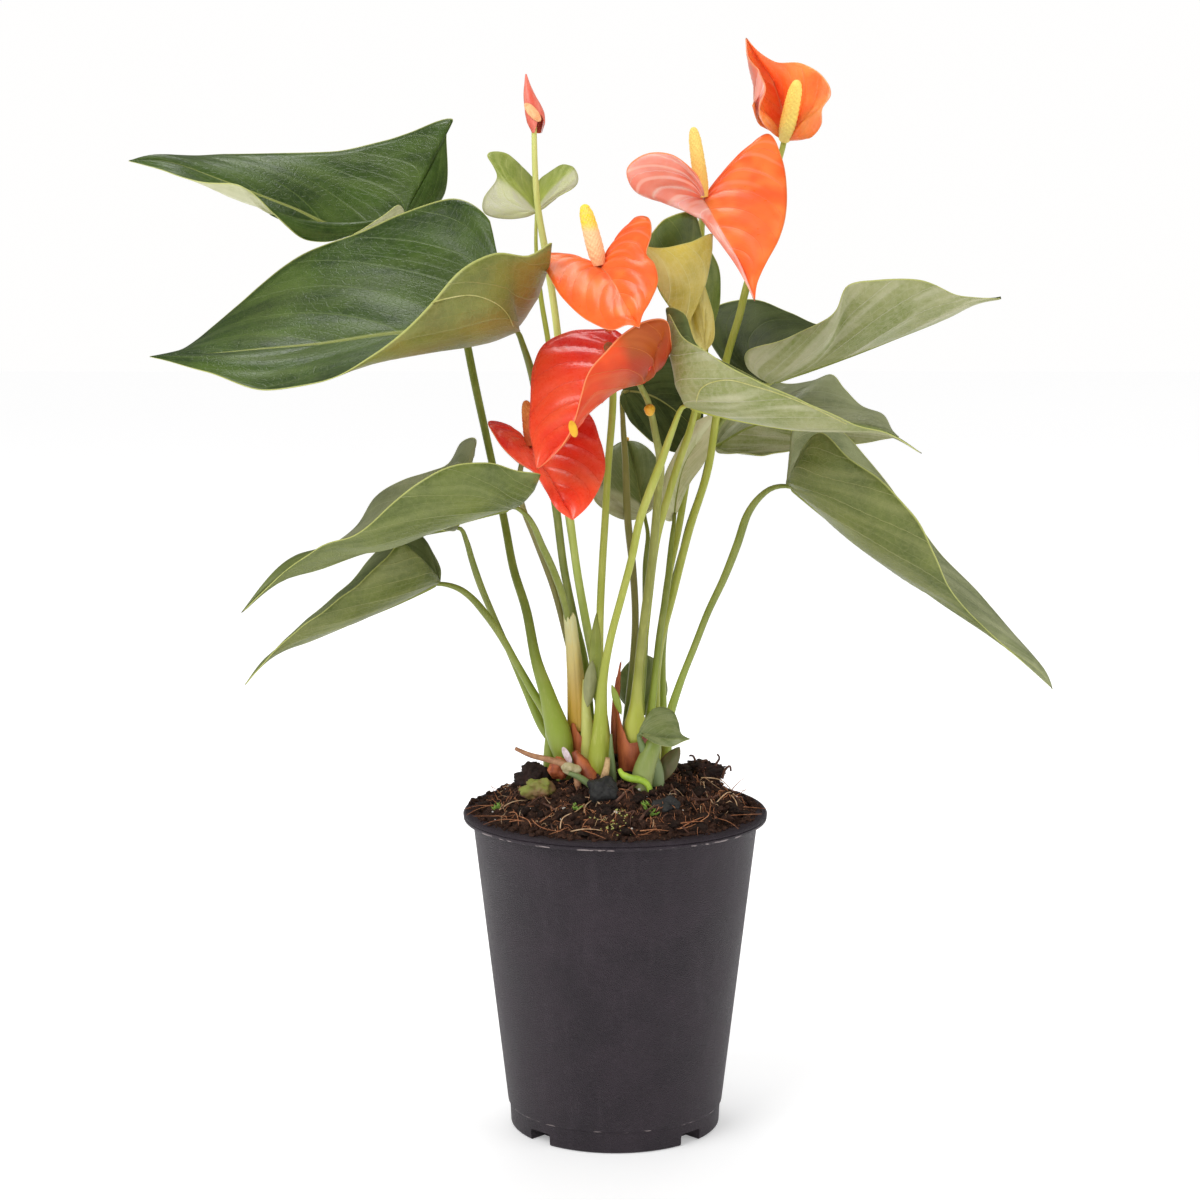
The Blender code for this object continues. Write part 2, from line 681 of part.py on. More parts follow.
# Short round leaf behind the stems, its tip upwards.
leaf(
    "leaf_round",
    join=(12, 24, 241),
    rib=[(10, 32, 248), (8, 42, 258)],
    tip=(5, 52, 268),
    left=[(7, 20, 239), (-1, 17, 241), (-8, 19, 247), (-6, 30, 256), (-3, 42, 264), (1, 48, 267)],
    right=[(15, 26, 243), (17, 32, 251), (17, 42, 261), (11, 48, 267)],
    petiole=[(12, 23, 239), (13, 21, 233), (12, 20, 221), (12, 19, 207), (12, 17, 189)],
    radii=[1.3, 1.5, 1.5, 1.5, 1.7, 2.1],
    base=(9, 16),
)

# Long leaf that hangs to the lower right, on the most spread petiole.
leaf(
    "leaf_low_right",
    join=(66, -6, 256),
    rib=[
        (79, -8, 245), (94, -10, 233), (110, -12, 222), (125, -14, 211), (140, -16, 201),
        (153, -18, 192), (163, -19, 185),
    ],
    tip=(168, -20, 178),
    left=[
        (68, -2, 263), (68, 2, 272), (70, 6, 279), (82, 10, 279), (98, 15, 265), (114, 17, 245),
        (128, 14, 227), (143, 4, 211), (157, -7, 195), (165, -15, 185),
    ],
    right=[
        (68, -12, 262, 0), (71, -20, 271, -2), (77, -28, 277, -3), (87, -36, 269, -6),
        (100, -41, 259, -8), (111, -42, 247, -9), (119, -38, 233, -8), (126, -30, 219, -4),
        (135, -22, 208, -1), (149, -19, 195, 0),
    ],
    petiole=[
        (65, -6, 255), (60, -6, 254), (55, -6, 250), (51, -6, 244), (47, -6, 232), (42, -6, 219),
        (36, -6, 206), (31, -6, 193), (25, -5, 177), (21, -4, 163),
    ],
    radii=[1.6, 2.1, 2.1, 1.9, 1.8, 1.8, 1.8, 1.9, 2.0, 2.3, 2.6],
    base=(20, -3),
)

# Little leaf low at the front of the crown.
leaf(
    "leaf_crown",
    join=(9, -22, 161),
    rib=[(14, -26, 161), (21, -33, 161)],
    tip=(28, -38, 162),
    left=[(11, -19, 164), (14, -16, 169), (18, -15, 170), (22, -18, 169), (24, -25, 166), (25, -34, 163)],
    right=[(12, -28, 160), (16, -34, 159), (21, -38, 159), (25, -39, 161)],
    petiole=[(9, -21, 160), (11, -20, 154)],
    radii=[1.0, 1.8, 3.2, 3.2],
    base=(15, -17),
)

# Little leaf behind the thick sheath in the crown.
leaf(
    "leaf_crown_back",
    join=(10, 29, 158),
    rib=[(10, 30, 168), (11, 32, 176)],
    tip=(11, 34, 183),
    left=[(6, 29, 161), (2, 30, 166), (2, 31, 175), (7, 33, 181)],
    right=[(16, 29, 161), (21, 30, 167), (20, 31, 175), (16, 33, 181)],
    petiole=[(10, 29, 158), (9, 28, 151)],
    radii=[1.0, 1.5, 1.6, 1.7],
    base=(7, 27),
)

# Orange bloom in the middle, its spathe open like a saddle towards the viewer.
bloom(
    "bloom_centre",
    join=(-6, -30, 339),
    rib=[(-2, -44, 335), (3, -64, 326)],
    tip=(8, -78, 318),
    left=[
        (-4, -28, 343), (2, -24, 349), (7, -24, 357), (12, -29, 357), (13, -36, 351), (11, -42, 344),
        (14, -48, 340), (15, -55, 334), (12, -66, 327), (9, -74, 322),
    ],
    right=[
        (-10, -27, 340), (-16, -22, 343), (-23, -19, 344), (-28, -24, 343), (-25, -36, 336),
        (-19, -50, 327), (-10, -64, 320), (-2, -73, 317), (4, -77, 319),
    ],
    stalk=[
        (-6, -27, 337), (-4, -16, 328), (-3, -4, 315), (-1, -3, 291), (-3, -4, 261), (-4, -5, 242),
        (-5, -5, 226), (-6, -5, 203), (-6, -4, 183),
    ],
    radii=[1.7, 1.8, 1.8, 1.8, 1.8, 1.9, 1.9, 1.9, 2.0, 2.3],
    base=(-4, -4),
    spadix=(-12, -33, 362),
    girth=2.6,
    colours=(SPATHE_ORANGE, SPADIX_YELLOW),
)

# Large red bloom, folded along its midrib, with its tip down to the left.
bloom(
    "bloom_upper_red",
    join=(9, -36, 296),
    rib=[(1, -38, 294), (-5, -42, 290), (-12, -46, 284), (-20, -52, 274)],
    tip=(-29, -58, 266),
    left=[
        (13, -40, 299, 0), (18, -46, 305, -1), (20, -56, 311, -2), (18, -62, 320, -3),
        (10, -66, 320, -4), (2, -67, 315, -4), (-4, -68, 309, -4), (-10, -66, 302, -3),
        (-13, -62, 292, -2), (-17, -57, 279, 0), (-22, -56, 272),
    ],
    right=[
        (9, -28, 301), (6, -19, 308), (0, -13, 315), (-9, -11, 315), (-18, -12, 314), (-27, -16, 310),
        (-31, -22, 302), (-32, -32, 290), (-32, -44, 279), (-30, -54, 271),
    ],
    stalk=[
        (9, -33, 295), (12, -29, 289), (15, -24, 276), (17, -20, 264), (16, -17, 251), (14, -13, 227),
        (11, -11, 203), (9, -9, 184),
    ],
    radii=[1.7, 2.0, 2.0, 2.1, 2.2, 2.2, 2.3, 2.8, 4.6, 4.2],
    base=(7, -9),
    spadix=(-4, -38, 311),
    girth=2.4,
    colours=(SPATHE_RED, SPADIX_YELLOW),
)

# Lowest bloom, bright red, half behind the larger one.
bloom(
    "bloom_low_red",
    join=(-32, -24, 271),
    rib=[(-28, -32, 266), (-22, -44, 257)],
    tip=(-16, -54, 247),
    left=[
        (-29, -17, 277), (-21, -12, 285), (-11, -13, 284), (-6, -22, 274), (-4, -32, 265),
        (-6, -42, 258), (-11, -51, 251),
    ],
    right=[
        (-36, -21, 275), (-41, -17, 279), (-48, -20, 281), (-45, -30, 275), (-38, -38, 268),
        (-30, -44, 263), (-26, -48, 257), (-22, -53, 251),
    ],
    stalk=[
        (-34, -21, 270), (-36, -16, 264), (-37, -10, 256), (-36, -4, 247), (-31, 0, 233), (-24, 4, 213),
        (-19, 7, 193), (-15, 9, 175),
    ],
    radii=[1.4, 1.5, 1.5, 1.5, 1.6, 1.6, 1.7, 1.9, 2.2],
    base=(-15, 13),
    spadix=(-34, -22, 289),
    girth=1.9,
    colours=(SPATHE_RED, SPADIX_BROWN),
)

# Salmon and orange bloom at the upper right, one lobe curled up to show its underside.
bloom(
    "bloom_upper_orange",
    join=(33, -12, 364),
    rib=[(37, -24, 356), (44, -40, 343)],
    tip=(50, -58, 327),
    left=[
        (36, -9, 367), (40, -5, 373), (49, -1, 383), (58, 1, 389), (63, -7, 379), (64, -20, 364),
        (61, -34, 351), (55, -46, 341), (51, -53, 333),
    ],
    right=[
        (33, -16, 367, 0), (29, -26, 374, 0), (20, -34, 380, 0), (11, -36, 380), (4, -32, 375),
        (7, -24, 367), (18, -18, 363), (29, -18, 359), (36, -28, 351), (44, -46, 339),
    ],
    stalk=[
        (33, -9, 362), (33, 0, 357), (33, 8, 349), (34, 13, 339), (35, 16, 326), (35, 16, 306),
        (33, 16, 287), (31, 19, 271), (28, 20, 253), (25, 19, 235), (21, 16, 216), (18, 12, 192),
        (16, 10, 176),
    ],
    radii=[1.7, 1.8, 1.8, 1.8, 1.8, 1.8, 1.8, 1.8, 1.8, 1.9, 1.9, 2.0, 2.1, 2.4],
    base=(12, 9),
    spadix=(29, -12, 391),
    girth=2.2,
    colours=(SPATHE_ORANGE, SPADIX_YELLOW),
)

# The highest bloom, cupped round its yellow spadix, tip upwards.
bloom(
    "bloom_top",
    join=(65, 12, 387),
    rib=[(65, 19, 397), (62, 22, 408), (56, 26, 419)],
    tip=(51, 30, 427),
    left=[
        (61, 9, 389, 0), (56, 1, 393, -3), (54, -8, 398, -6), (56, -12, 405, -8), (54, -6, 412, -6),
        (51, 12, 418, -3),
    ],
    right=[
        (70, 8, 387), (75, 3, 388), (78, -1, 392), (78, -4, 398), (81, -6, 403), (79, 0, 410),
        (71, 10, 416), (62, 18, 417), (55, 25, 422),
    ],
    stalk=[
        (65, 13, 386), (63, 13, 379), (60, 12, 364), (56, 11, 347), (51, 9, 332), (48, 7, 320),
        (43, 6, 303), (39, 5, 280), (36, 5, 260), (29, 5, 237), (22, 5, 209), (18, 5, 193), (16, 5, 177),
    ],
    radii=[1.7, 1.9, 1.9, 1.9, 1.9, 1.9, 1.9, 1.9, 2.0, 2.0, 2.0, 2.1, 2.2, 2.5],
    base=(16, 4),
    spadix=(68, -12, 408),
    girth=2.6,
    colours=(SPATHE_ORANGE, SPADIX_YELLOW),
)

# The bud: a spathe still rolled into a cone round its spadix, on a thin pale stalk.
bud_stalk = [
    (-31, -4, 388), (-30, -2, 364), (-27, 0, 345), (-24, 2, 326), (-22, 3, 309), (-21, 3, 288),
    (-20, 2, 264), (-18, 2, 245), (-15, 2, 221), (-11, 2, 198), (-7, 3, 176),
]
bud_radii = [1.2, 1.3, 1.4, 1.4, 1.5, 1.5, 1.5, 1.6, 1.7, 1.8, 2.0, 2.3]
bud_spathe = [(-30, -4, 389), (-31, -4, 397), (-33, -4, 404), (-34, -4, 411)]
bud_foot = (-5, 3)
add_part(
    "bud_stalk",
    stem_mesh("bud_stalk", down_to_soil(bud_stalk, bud_foot, bud_radii), bud_radii),
    STEM_GREEN,
    0.45,
)
add_part(
    "bud_spathe",
    stem_mesh("bud_spathe", bud_spathe, [1.6, 3.7, 4.0, 3.3, 2.3, 1.2, 0.4], 10, 2),
    SPATHE_RED,
    0.35,
)


def sheath(name, route, radii, start, sweep, colour):
    """A dry sheath: a sheet rolled part of the way round a stem, narrowing to a point at its top. The route
    runs upwards; start and sweep are angles in degrees round it, from the right towards the back."""
    rings, around = 9, 7
    centres = through(route, np.linspace(0, 1, rings))
    widths = np.interp(np.linspace(0, 1, rings), np.linspace(0, 1, len(radii)), radii)
    bm = bmesh.new()
    rows = []
    for i, (centre, width) in enumerate(zip(centres, widths)):
        share = i / (rings - 1)
        half = 0.5 * sweep * (1 - 0.9 * share**3)
        row = []
        for j in range(around):
            angle = math.radians(start + 0.5 * sweep - half + 2 * half * j / (around - 1))
            row.append(bm.verts.new(centre + width * np.array([math.cos(angle), math.sin(angle), 0])))
        rows.append(row)
    for low, high in zip(rows, rows[1:]):
        for j in range(around - 1):
            bm.faces.new((low[j], low[j + 1], high[j + 1]))
            bm.faces.new((low[j], high[j + 1], high[j]))
    sheet = add_part(name, mesh_of(bm, name), colour, 0.6)
    solid = sheet.modifiers.new("thickness", "SOLIDIFY")
    solid.thickness = SHEATH_THICKNESS * MM
    solid.offset = 1
    solid.use_even_offset = False
    return sheet


# The dry sheaths at the crown. Each once wrapped a young leaf and now stands round the foot of its stem.
sheath(
    "sheath_tan",
    route=[(-14.5, 0.5, 165), (-15, 0, 173), (-17, -4, 190), (-20, -8, 206)],
    radii=[3.3, 3.5, 3.1, 2.7],
    start=130,
    sweep=250,
    colour=SHEATH_TAN,
)
sheath(
    "sheath_brown_left",
    route=[(-14, 0, 146), (-13, -1, 153), (-13, -1, 163)],
    radii=[3.4, 4.2, 3.3],
    start=190,
    sweep=170,
    colour=SHEATH_BROWN,
)
sheath(
    "sheath_brown_centre",
    route=[(7, -9, 145), (7, -10, 152), (8, -10, 163)],
    radii=[5.0, 6.2, 6.6],
    start=165,
    sweep=215,
    colour=SHEATH_BROWN,
)
sheath(
    "sheath_brown_tip",
    route=[(0.5, -5, 150), (0, -5.5, 162), (0.6, -5.5, 174), (2.5, -5.5, 187)],
    radii=[1.7, 1.9, 1.4, 0.7],
    start=170,
    sweep=180,
    colour=SHEATH_BROWN,
)


def lump(name, centre, size, seed, colour, roughness):
    """A rough lump: a ball of faces pushed in and out by noise and made long, broad and high as told."""
    bm = bmesh.new()
    bmesh.ops.create_icosphere(bm, subdivisions=2, radius=1)
    for vertex in bm.verts:
        push = 1 + 0.28 * noise.noise(vertex.co * 1.3 + Vector((seed, 0, 0)))
        vertex.co = Vector([number * push * half for number, half in zip(vertex.co, size)]) + Vector(centre)
    mesh = mesh_of(bm, name)
    return add_part(name, mesh, colour, roughness) if colour else add_cutter(name, mesh)


def bedded_lump(name, centre, size, seed, colour, roughness):
    """A lump that lies in its own hollow in the peat."""
    lump(name, centre, size, seed, colour, roughness)
    room = [half + CLEARANCE + 0.1 for half in size]
    boolean(soil, name, "DIFFERENCE", lump(name + "_hollow", centre, room, seed, None, 0))


bedded_lump("stone", (-4.5, -26, 138.8), (5.4, 4.6, 5.0), 3.0, STONE_GREY, 0.8)
bedded_lump("bark_dark", (-33.5, -4, 140), (6.0, 4.0, 4.8), 8.0, BARK_BROWN, 0.9)
bedded_lump("bark_olive", (-30, -17, 138), (5.6, 3.6, 3.4), 5.0, BARK_BROWN, 0.9)


def sprout(name, keys, base, straight, radii, colour):
    """A root or shoot whose lower end stands in its own hole in the peat."""
    route = down_to_soil(keys, base, radii, straight)
    add_part(name, stem_mesh(name, route, radii, 8), colour, 0.6)


# A dead root lying across the left of the crown, and two green shoots at its front
sprout(
    "root_left",
    [(-39, -11, 153), (-33, -12, 150.5), (-27, -13, 149.2), (-20.5, -14.5, 147.6), (-15.5, -17, 145)],
    base=(-14.5, -19),
    straight=140,
    radii=[0.7, 1.0, 1.2, 1.5, 1.6, 1.4, 1.2],
    colour=ROOT_TAN,
)
sprout(
    "shoot_curved",
    [(1.5, -22, 147), (3, -23.5, 145), (6, -25, 144), (9, -25.5, 143.6), (12, -25.5, 142)],
    base=(13.5, -25.5),
    straight=138.5,
    radii=[0.8, 1.5, 1.5, 1.3, 1.1, 1.0, 1.0],
    colour=STEM_GREEN,
)
sprout(
    "shoot_upright",
    [(-1.7, -18.2, 160), (-1.6, -18.6, 152)],
    base=(-1, -19),
    straight=143,
    radii=[0.4, 1.2, 1.5, 1.4],
    colour=STEM_GREEN,
)

# Every stem's hole, cut from the peat
holes = bpy.data.collections.new("stem_holes")
cutters.children.link(holes)
holes.hide_render = True
for number, (x, y, radius) in enumerate(stem_feet, 1):
    bm = bmesh.new()
    bmesh.ops.create_cone(
        bm,
        cap_ends=True,
        cap_tris=True,
        segments=12,
        radius1=radius + CLEARANCE + 0.15,
        radius2=radius + CLEARANCE + 0.9,
        depth=24,
    )
    bmesh.ops.translate(bm, vec=(x, y, STEM_FOOT - CLEARANCE + 12), verts=bm.verts)
    hole = add_cutter(f"hole_{number}", mesh_of(bm, f"hole_{number}"))
    cutters.objects.unlink(hole)
    holes.objects.link(hole)
boolean(soil, "stem_holes", "DIFFERENCE", holes)
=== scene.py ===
"""The looks of a potted anthurium, built round its solids: sixteen leaves, five blooms and a bud in a
plastic pot of peat. Points are in millimetres, in the frame of the solids: x to the right, y away, z up."""

import math
import random
from itertools import product

import bmesh
import bpy
import numpy as np
from mathutils import Matrix, Vector, noise
from mathutils.bvhtree import BVHTree


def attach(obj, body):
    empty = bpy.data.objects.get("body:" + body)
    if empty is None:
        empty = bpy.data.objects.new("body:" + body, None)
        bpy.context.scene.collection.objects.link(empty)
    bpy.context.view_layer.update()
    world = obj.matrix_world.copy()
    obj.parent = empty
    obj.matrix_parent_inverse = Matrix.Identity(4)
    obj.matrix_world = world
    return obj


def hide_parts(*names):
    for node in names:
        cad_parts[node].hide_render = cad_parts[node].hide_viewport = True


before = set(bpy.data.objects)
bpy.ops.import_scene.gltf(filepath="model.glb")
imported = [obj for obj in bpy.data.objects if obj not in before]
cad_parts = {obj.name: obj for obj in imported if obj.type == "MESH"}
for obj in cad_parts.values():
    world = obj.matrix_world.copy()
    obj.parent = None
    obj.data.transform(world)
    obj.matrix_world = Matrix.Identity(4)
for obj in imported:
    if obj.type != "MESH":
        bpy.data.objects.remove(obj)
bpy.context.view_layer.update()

# The stage: a pale floor that runs out of sight under an even white surround, as where plants are
# photographed on white. Soft lights stand round it, the strongest above the front left, and a small one
# above and behind makes the sheen on the leaves.
MM = 0.001


def add_node(tree, kind, inputs=None, **settings):
    """One shader node. An input is given by its name or number, as a value or as another node's output."""
    node = tree.nodes.new(kind)
    for name, value in settings.items():
        setattr(node, name, value)
    for name, value in (inputs or {}).items():
        if isinstance(value, bpy.types.NodeSocket):
            tree.links.new(value, node.inputs[name])
        else:
            node.inputs[name].default_value = value
    return node


def new_material(name):
    made = bpy.data.materials.new(name)
    made.use_nodes = True
    return made, made.node_tree, made.node_tree.nodes["Principled BSDF"]


floor_mesh = bpy.data.meshes.new("floor")
FLOOR_HALF = 6.0
FLOOR_GLOW = 0.56
FLOOR_GLOW_NEAR = 0.3
FLOOR_DROP = 0.0002
corners = [(x * FLOOR_HALF, y * FLOOR_HALF, -FLOOR_DROP) for x, y in ((-1, -1), (1, -1), (1, 1), (-1, 1))]
floor_mesh.from_pydata(corners, [], [(0, 1, 2, 3)])
floor = bpy.data.objects.new("floor", floor_mesh)
bpy.context.scene.collection.objects.link(floor)
floor_look, tree, shader = new_material("floor_paper")
paper_noise = add_node(tree, "ShaderNodeTexNoise", {"Scale": 3.0, "Detail": 2.0})
inputs = {"Factor": paper_noise.outputs["Fac"], "A": (0.86, 0.86, 0.87, 1), "B": (0.9, 0.9, 0.9, 1)}
paper = add_node(tree, "ShaderNodeMix", inputs, data_type="RGBA")
tree.links.new(paper.outputs["Result"], shader.inputs["Base Color"])
shader.inputs["Roughness"].default_value = 0.9
shader.inputs["Specular IOR Level"].default_value = 0.2
# The paper glows of itself, to stay white out of sight. Near the pot it glows less, so the floor is darker
# round the foot: painted shade.
shader.inputs["Emission Color"].default_value = (1, 1, 1, 1)
spot = add_node(tree, "ShaderNodeTexCoord").outputs["Object"]
away = add_node(tree, "ShaderNodeVectorMath", {0: spot}, operation="LENGTH").outputs["Value"]
glow = {"Value": away, "From Min": 0.1, "From Max": 0.9, "To Min": FLOOR_GLOW_NEAR, "To Max": FLOOR_GLOW}
glow = add_node(tree, "ShaderNodeMapRange", glow)
tree.links.new(glow.outputs["Result"], shader.inputs["Emission Strength"])
floor_mesh.materials.append(floor_look)

world = bpy.data.worlds.new("white_surround")
world.use_nodes = True
bpy.context.scene.world = world
tree = world.node_tree
SURROUND_LIGHT = 0.5
SURROUND_MIRRORED = 0.14
SURROUND_SEEN = 1.0
surround = tree.nodes["Background"]
surround.inputs["Color"].default_value = (1.0, 0.995, 0.99, 1)
path_kind = add_node(tree, "ShaderNodeLightPath")
inputs = {"Factor": path_kind.outputs["Is Glossy Ray"], "A": SURROUND_LIGHT, "B": SURROUND_MIRRORED}
dimmed = add_node(tree, "ShaderNodeMix", inputs, data_type="FLOAT").outputs["Result"]
inputs = {"Factor": path_kind.outputs["Is Camera Ray"], "A": dimmed, "B": SURROUND_SEEN}
strength = add_node(tree, "ShaderNodeMix", inputs, data_type="FLOAT").outputs["Result"]
tree.links.new(strength, surround.inputs["Strength"])


def soft_light(name, place, aim, size, power, mirrored=True):
    """A square soft light at place, in metres, that faces the point aim. Glossy faces mirror it or not."""
    lamp = bpy.data.lights.new(name, "AREA")
    lamp.shape = "SQUARE"
    lamp.size = size
    lamp.energy = power
    holder = bpy.data.objects.new(name, lamp)
    bpy.context.scene.collection.objects.link(holder)
    holder.location = place
    holder.rotation_euler = (Vector(aim) - Vector(place)).to_track_quat("-Z", "Y").to_euler()
    holder.visible_glossy = mirrored


PLANT_MIDDLE = (0, 0, 0.25)
soft_light("key_light", (-0.9, -0.9, 1.25), PLANT_MIDDLE, 1.1, 13)
soft_light("fill_light", (1.3, -0.7, 0.7), PLANT_MIDDLE, 0.9, 6, mirrored=False)
soft_light("top_light", (0.1, 0.5, 1.5), PLANT_MIDDLE, 0.9, 6, mirrored=False)
soft_light("gloss_light", (-0.75, -0.85, 1.2), PLANT_MIDDLE, 0.3, 1.5)
soft_light("sheen_light", (-0.16, 0.56, 1.35), PLANT_MIDDLE, 0.42, 2.0)
bpy.context.scene.view_settings.view_transform = "Standard"

# The camera: where the photograph was taken from, about a metre in front and a little above the rim, with
# a long lens. Its height and pitch come from the ellipses of the pot's rim and foot.
FOCAL_PIXELS = 2561
PICTURE_PIXELS = 1200
SENSOR = 36.0
camera_data = bpy.data.cameras.new("camera")
camera_data.sensor_width = SENSOR
camera_data.lens = FOCAL_PIXELS / PICTURE_PIXELS * SENSOR
camera = bpy.data.objects.new("camera", camera_data)
bpy.context.scene.collection.objects.link(camera)
camera.location = (-0.006, -0.990, 0.348)
camera.rotation_euler = (math.radians(82.05), 0, 0)
bpy.context.scene.camera = camera

# The pot: a thin moulding of black recycled plastic, dull and finely grained like leather. It has a lip, a
# step near the foot, four drain notches and a raised floor with a flat boss in its middle. White dust sits
# in the corner under the lip and on the edge of the step.
RIM_RADIUS = 60.0
POT_HEIGHT = 126.8
LIP_HEIGHT = 3.3
WALL_TOP_RADIUS = 56.2
FOOT_RADIUS = 41.6
STEP_DEPTH = 1.1
STEP_HEIGHT = 9.0
WALL = 1.6
FOOT_RECESS = 3.0
FLOOR_TOP = 5.4
BOSS_RADIUS = 8.0
NOTCH_WIDTH = 10.5
NOTCH_HEIGHT = 4.6
TURN_STEPS = 160
DUST_SHARE = 0.5


def wall_radius(height):
    """The outer radius of the wall at this height above the step."""
    share = (height - STEP_HEIGHT) / (POT_HEIGHT - LIP_HEIGHT - STEP_HEIGHT)
    return FOOT_RADIUS + STEP_DEPTH + (WALL_TOP_RADIUS - FOOT_RADIUS - STEP_DEPTH) * share


def rounded(profile, radius, steps=3):
    """The outline with each corner cut by a short arc of at most this radius."""
    keys = [Vector(key) for key in profile]
    made = [keys[0]]
    for before, corner, after in zip(keys, keys[1:], keys[2:]):
        reach = min(radius, (corner - before).length * 0.4, (after - corner).length * 0.4)
        start = corner + (before - corner).normalized() * reach
        end = corner + (after - corner).normalized() * reach
        for i in range(steps + 1):
            t = i / steps
            made.append(start * (1 - t) ** 2 + corner * 2 * t * (1 - t) + end * t**2)
    return [*made, keys[-1]]


def linked(name, data):
    item = bpy.data.objects.new(name, data)
    bpy.context.scene.collection.objects.link(item)
    return item


def on_plant(item, node=None):
    """The piece fixed to the plant, in place of a node of the solids if one is named."""
    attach(item, "root")
    if node:
        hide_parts(node)
    return item


def turned(name, profile, steps):
    """A closed profile of (radius, height) turned about the upright axis with a Screw, as a mesh object."""
    mesh = bpy.data.meshes.new(name)
    points = [(key[0] * MM, 0, key[1] * MM) for key in profile]
    mesh.from_pydata(points, [(i, i + 1) for i in range(len(points) - 1)], [])
    item = linked(name, mesh)
    turn = item.modifiers.new("turn", "SCREW")
    turn.steps = steps
    turn.render_steps = steps
    turn.use_merge_vertices = True
    turn.merge_threshold = 0.00001
    return apply_modifiers(item)


def apply_modifiers(item):
    """The object with its modifiers made part of its mesh."""
    graph = bpy.context.evaluated_depsgraph_get()
    mesh = bpy.data.meshes.new_from_object(item.evaluated_get(graph))
    item.modifiers.clear()
    item.data = mesh
    return item


pot_profile = rounded(
    [
        (0, 0),
        (BOSS_RADIUS, 0),
        (BOSS_RADIUS + 0.8, FOOT_RECESS),
        (FOOT_RADIUS - 9.5, FOOT_RECESS),
        (FOOT_RADIUS - 8.0, 0),
        (FOOT_RADIUS, 0),
        (FOOT_RADIUS + 0.4, STEP_HEIGHT - 0.7),
        (wall_radius(STEP_HEIGHT), STEP_HEIGHT),
        (WALL_TOP_RADIUS, POT_HEIGHT - LIP_HEIGHT),
        (RIM_RADIUS - 0.3, POT_HEIGHT - LIP_HEIGHT),
        (RIM_RADIUS - 0.2, POT_HEIGHT - 2.0),
        (RIM_RADIUS - 0.7, POT_HEIGHT - 1.75),
        (RIM_RADIUS, POT_HEIGHT - 1.4),
        (RIM_RADIUS - 0.9, POT_HEIGHT),
        (WALL_TOP_RADIUS - WALL, POT_HEIGHT),
        (FOOT_RADIUS + STEP_DEPTH - WALL, STEP_HEIGHT),
        (FOOT_RADIUS + STEP_DEPTH - WALL - 1.0, FLOOR_TOP),
        (0, FLOOR_TOP),
    ],
    0.7,
)
pot = turned("pot_moulding", pot_profile, TURN_STEPS)
for quarter in range(4):
    bm = bmesh.new()
    bmesh.ops.create_cube(bm, size=1)
    bmesh.ops.scale(bm, vec=(12 * MM, NOTCH_WIDTH * MM, 2 * NOTCH_HEIGHT * MM), verts=bm.verts)
    bmesh.ops.bevel(
        bm,
        geom=[edge for edge in bm.edges if abs(edge.verts[0].co.x - edge.verts[1].co.x) > MM],
        offset=1.2 * MM,
        segments=3,
        profile=0.5,
        affect="EDGES",
    )
    cutter_mesh = bpy.data.meshes.new("notch")
    bm.to_mesh(cutter_mesh)
    bm.free()
    cutter = linked("notch", cutter_mesh)
    angle = math.radians(45 + 90 * quarter)
    reach = (FOOT_RADIUS - 1.5) * MM
    cutter.location = (reach * math.cos(angle), reach * math.sin(angle), 0)
    cutter.rotation_euler = (0, 0, angle)
    bpy.context.view_layer.update()
    cut = pot.modifiers.new("notch", "BOOLEAN")
    cut.operation = "DIFFERENCE"
    cut.solver = "EXACT"
    cut.object = cutter
    apply_modifiers(pot)
    bpy.data.objects.remove(cutter)
pot.data.shade_smooth()
pot.data.set_sharp_from_angle(angle=math.radians(38))


def new_group(name, inputs, outputs):
    """A shader node group: its tree, its input node and its output node. A socket is a label, a kind and,
    for an input, its value."""
    group = bpy.data.node_groups.new(name, "ShaderNodeTree")
    for label, kind, value in inputs:
        socket = group.interface.new_socket(label, in_out="INPUT", socket_type=kind)
        socket.default_value = value
    for label, kind in outputs:
        group.interface.new_socket(label, in_out="OUTPUT", socket_type=kind)
    return group, add_node(group, "NodeGroupInput").outputs, add_node(group, "NodeGroupOutput").inputs


def maths(tree, operation, first, second=0.0, third=0.0):
    """One Math node's output."""
    inputs = {0: first, 1: second, 2: third}
    return add_node(tree, "ShaderNodeMath", inputs, operation=operation).outputs[0]


def ramp(tree, value, low, high, start=0.0, end=1.0):
    """A value between low and high brought smoothly to between start and end."""
    inputs = {"Value": value, "From Min": low, "From Max": high, "To Min": start, "To Max": end}
    return add_node(tree, "ShaderNodeMapRange", inputs, interpolation_type="SMOOTHSTEP").outputs["Result"]


def from_screen(red, green, blue):
    """A colour as a screen's 0 to 255, made linear."""
    shares = [number / 255 for number in (red, green, blue)]
    return (*[s / 12.92 if s < 0.04 else ((s + 0.055) / 1.055) ** 2.4 for s in shares], 1)


def mixed(tree, share, first, second):
    """Two colours mixed by share. A plain colour is given as a screen shows it, from 0 to 255."""
    node = tree.nodes.new("ShaderNodeMix")
    node.data_type = "RGBA"
    for name, value in (("Factor_Float", share), ("A_Color", first), ("B_Color", second)):
        socket = next(item for item in node.inputs if item.identifier == name)
        if isinstance(value, bpy.types.NodeSocket):
            tree.links.new(value, socket)
        else:
            socket.default_value = from_screen(*value) if isinstance(value, tuple) else value
    return next(item for item in node.outputs if item.identifier == "Result_Color")


def place_of(tree, stretch=(1, 1, 1)):
    """A point's own place on the object, in millimetres, stretched as told."""
    place = add_node(tree, "ShaderNodeTexCoord").outputs["Object"]
    scale = tuple(number / MM for number in stretch)
    return add_node(tree, "ShaderNodeVectorMath", {0: place, 1: scale}, operation="MULTIPLY").outputs[0]


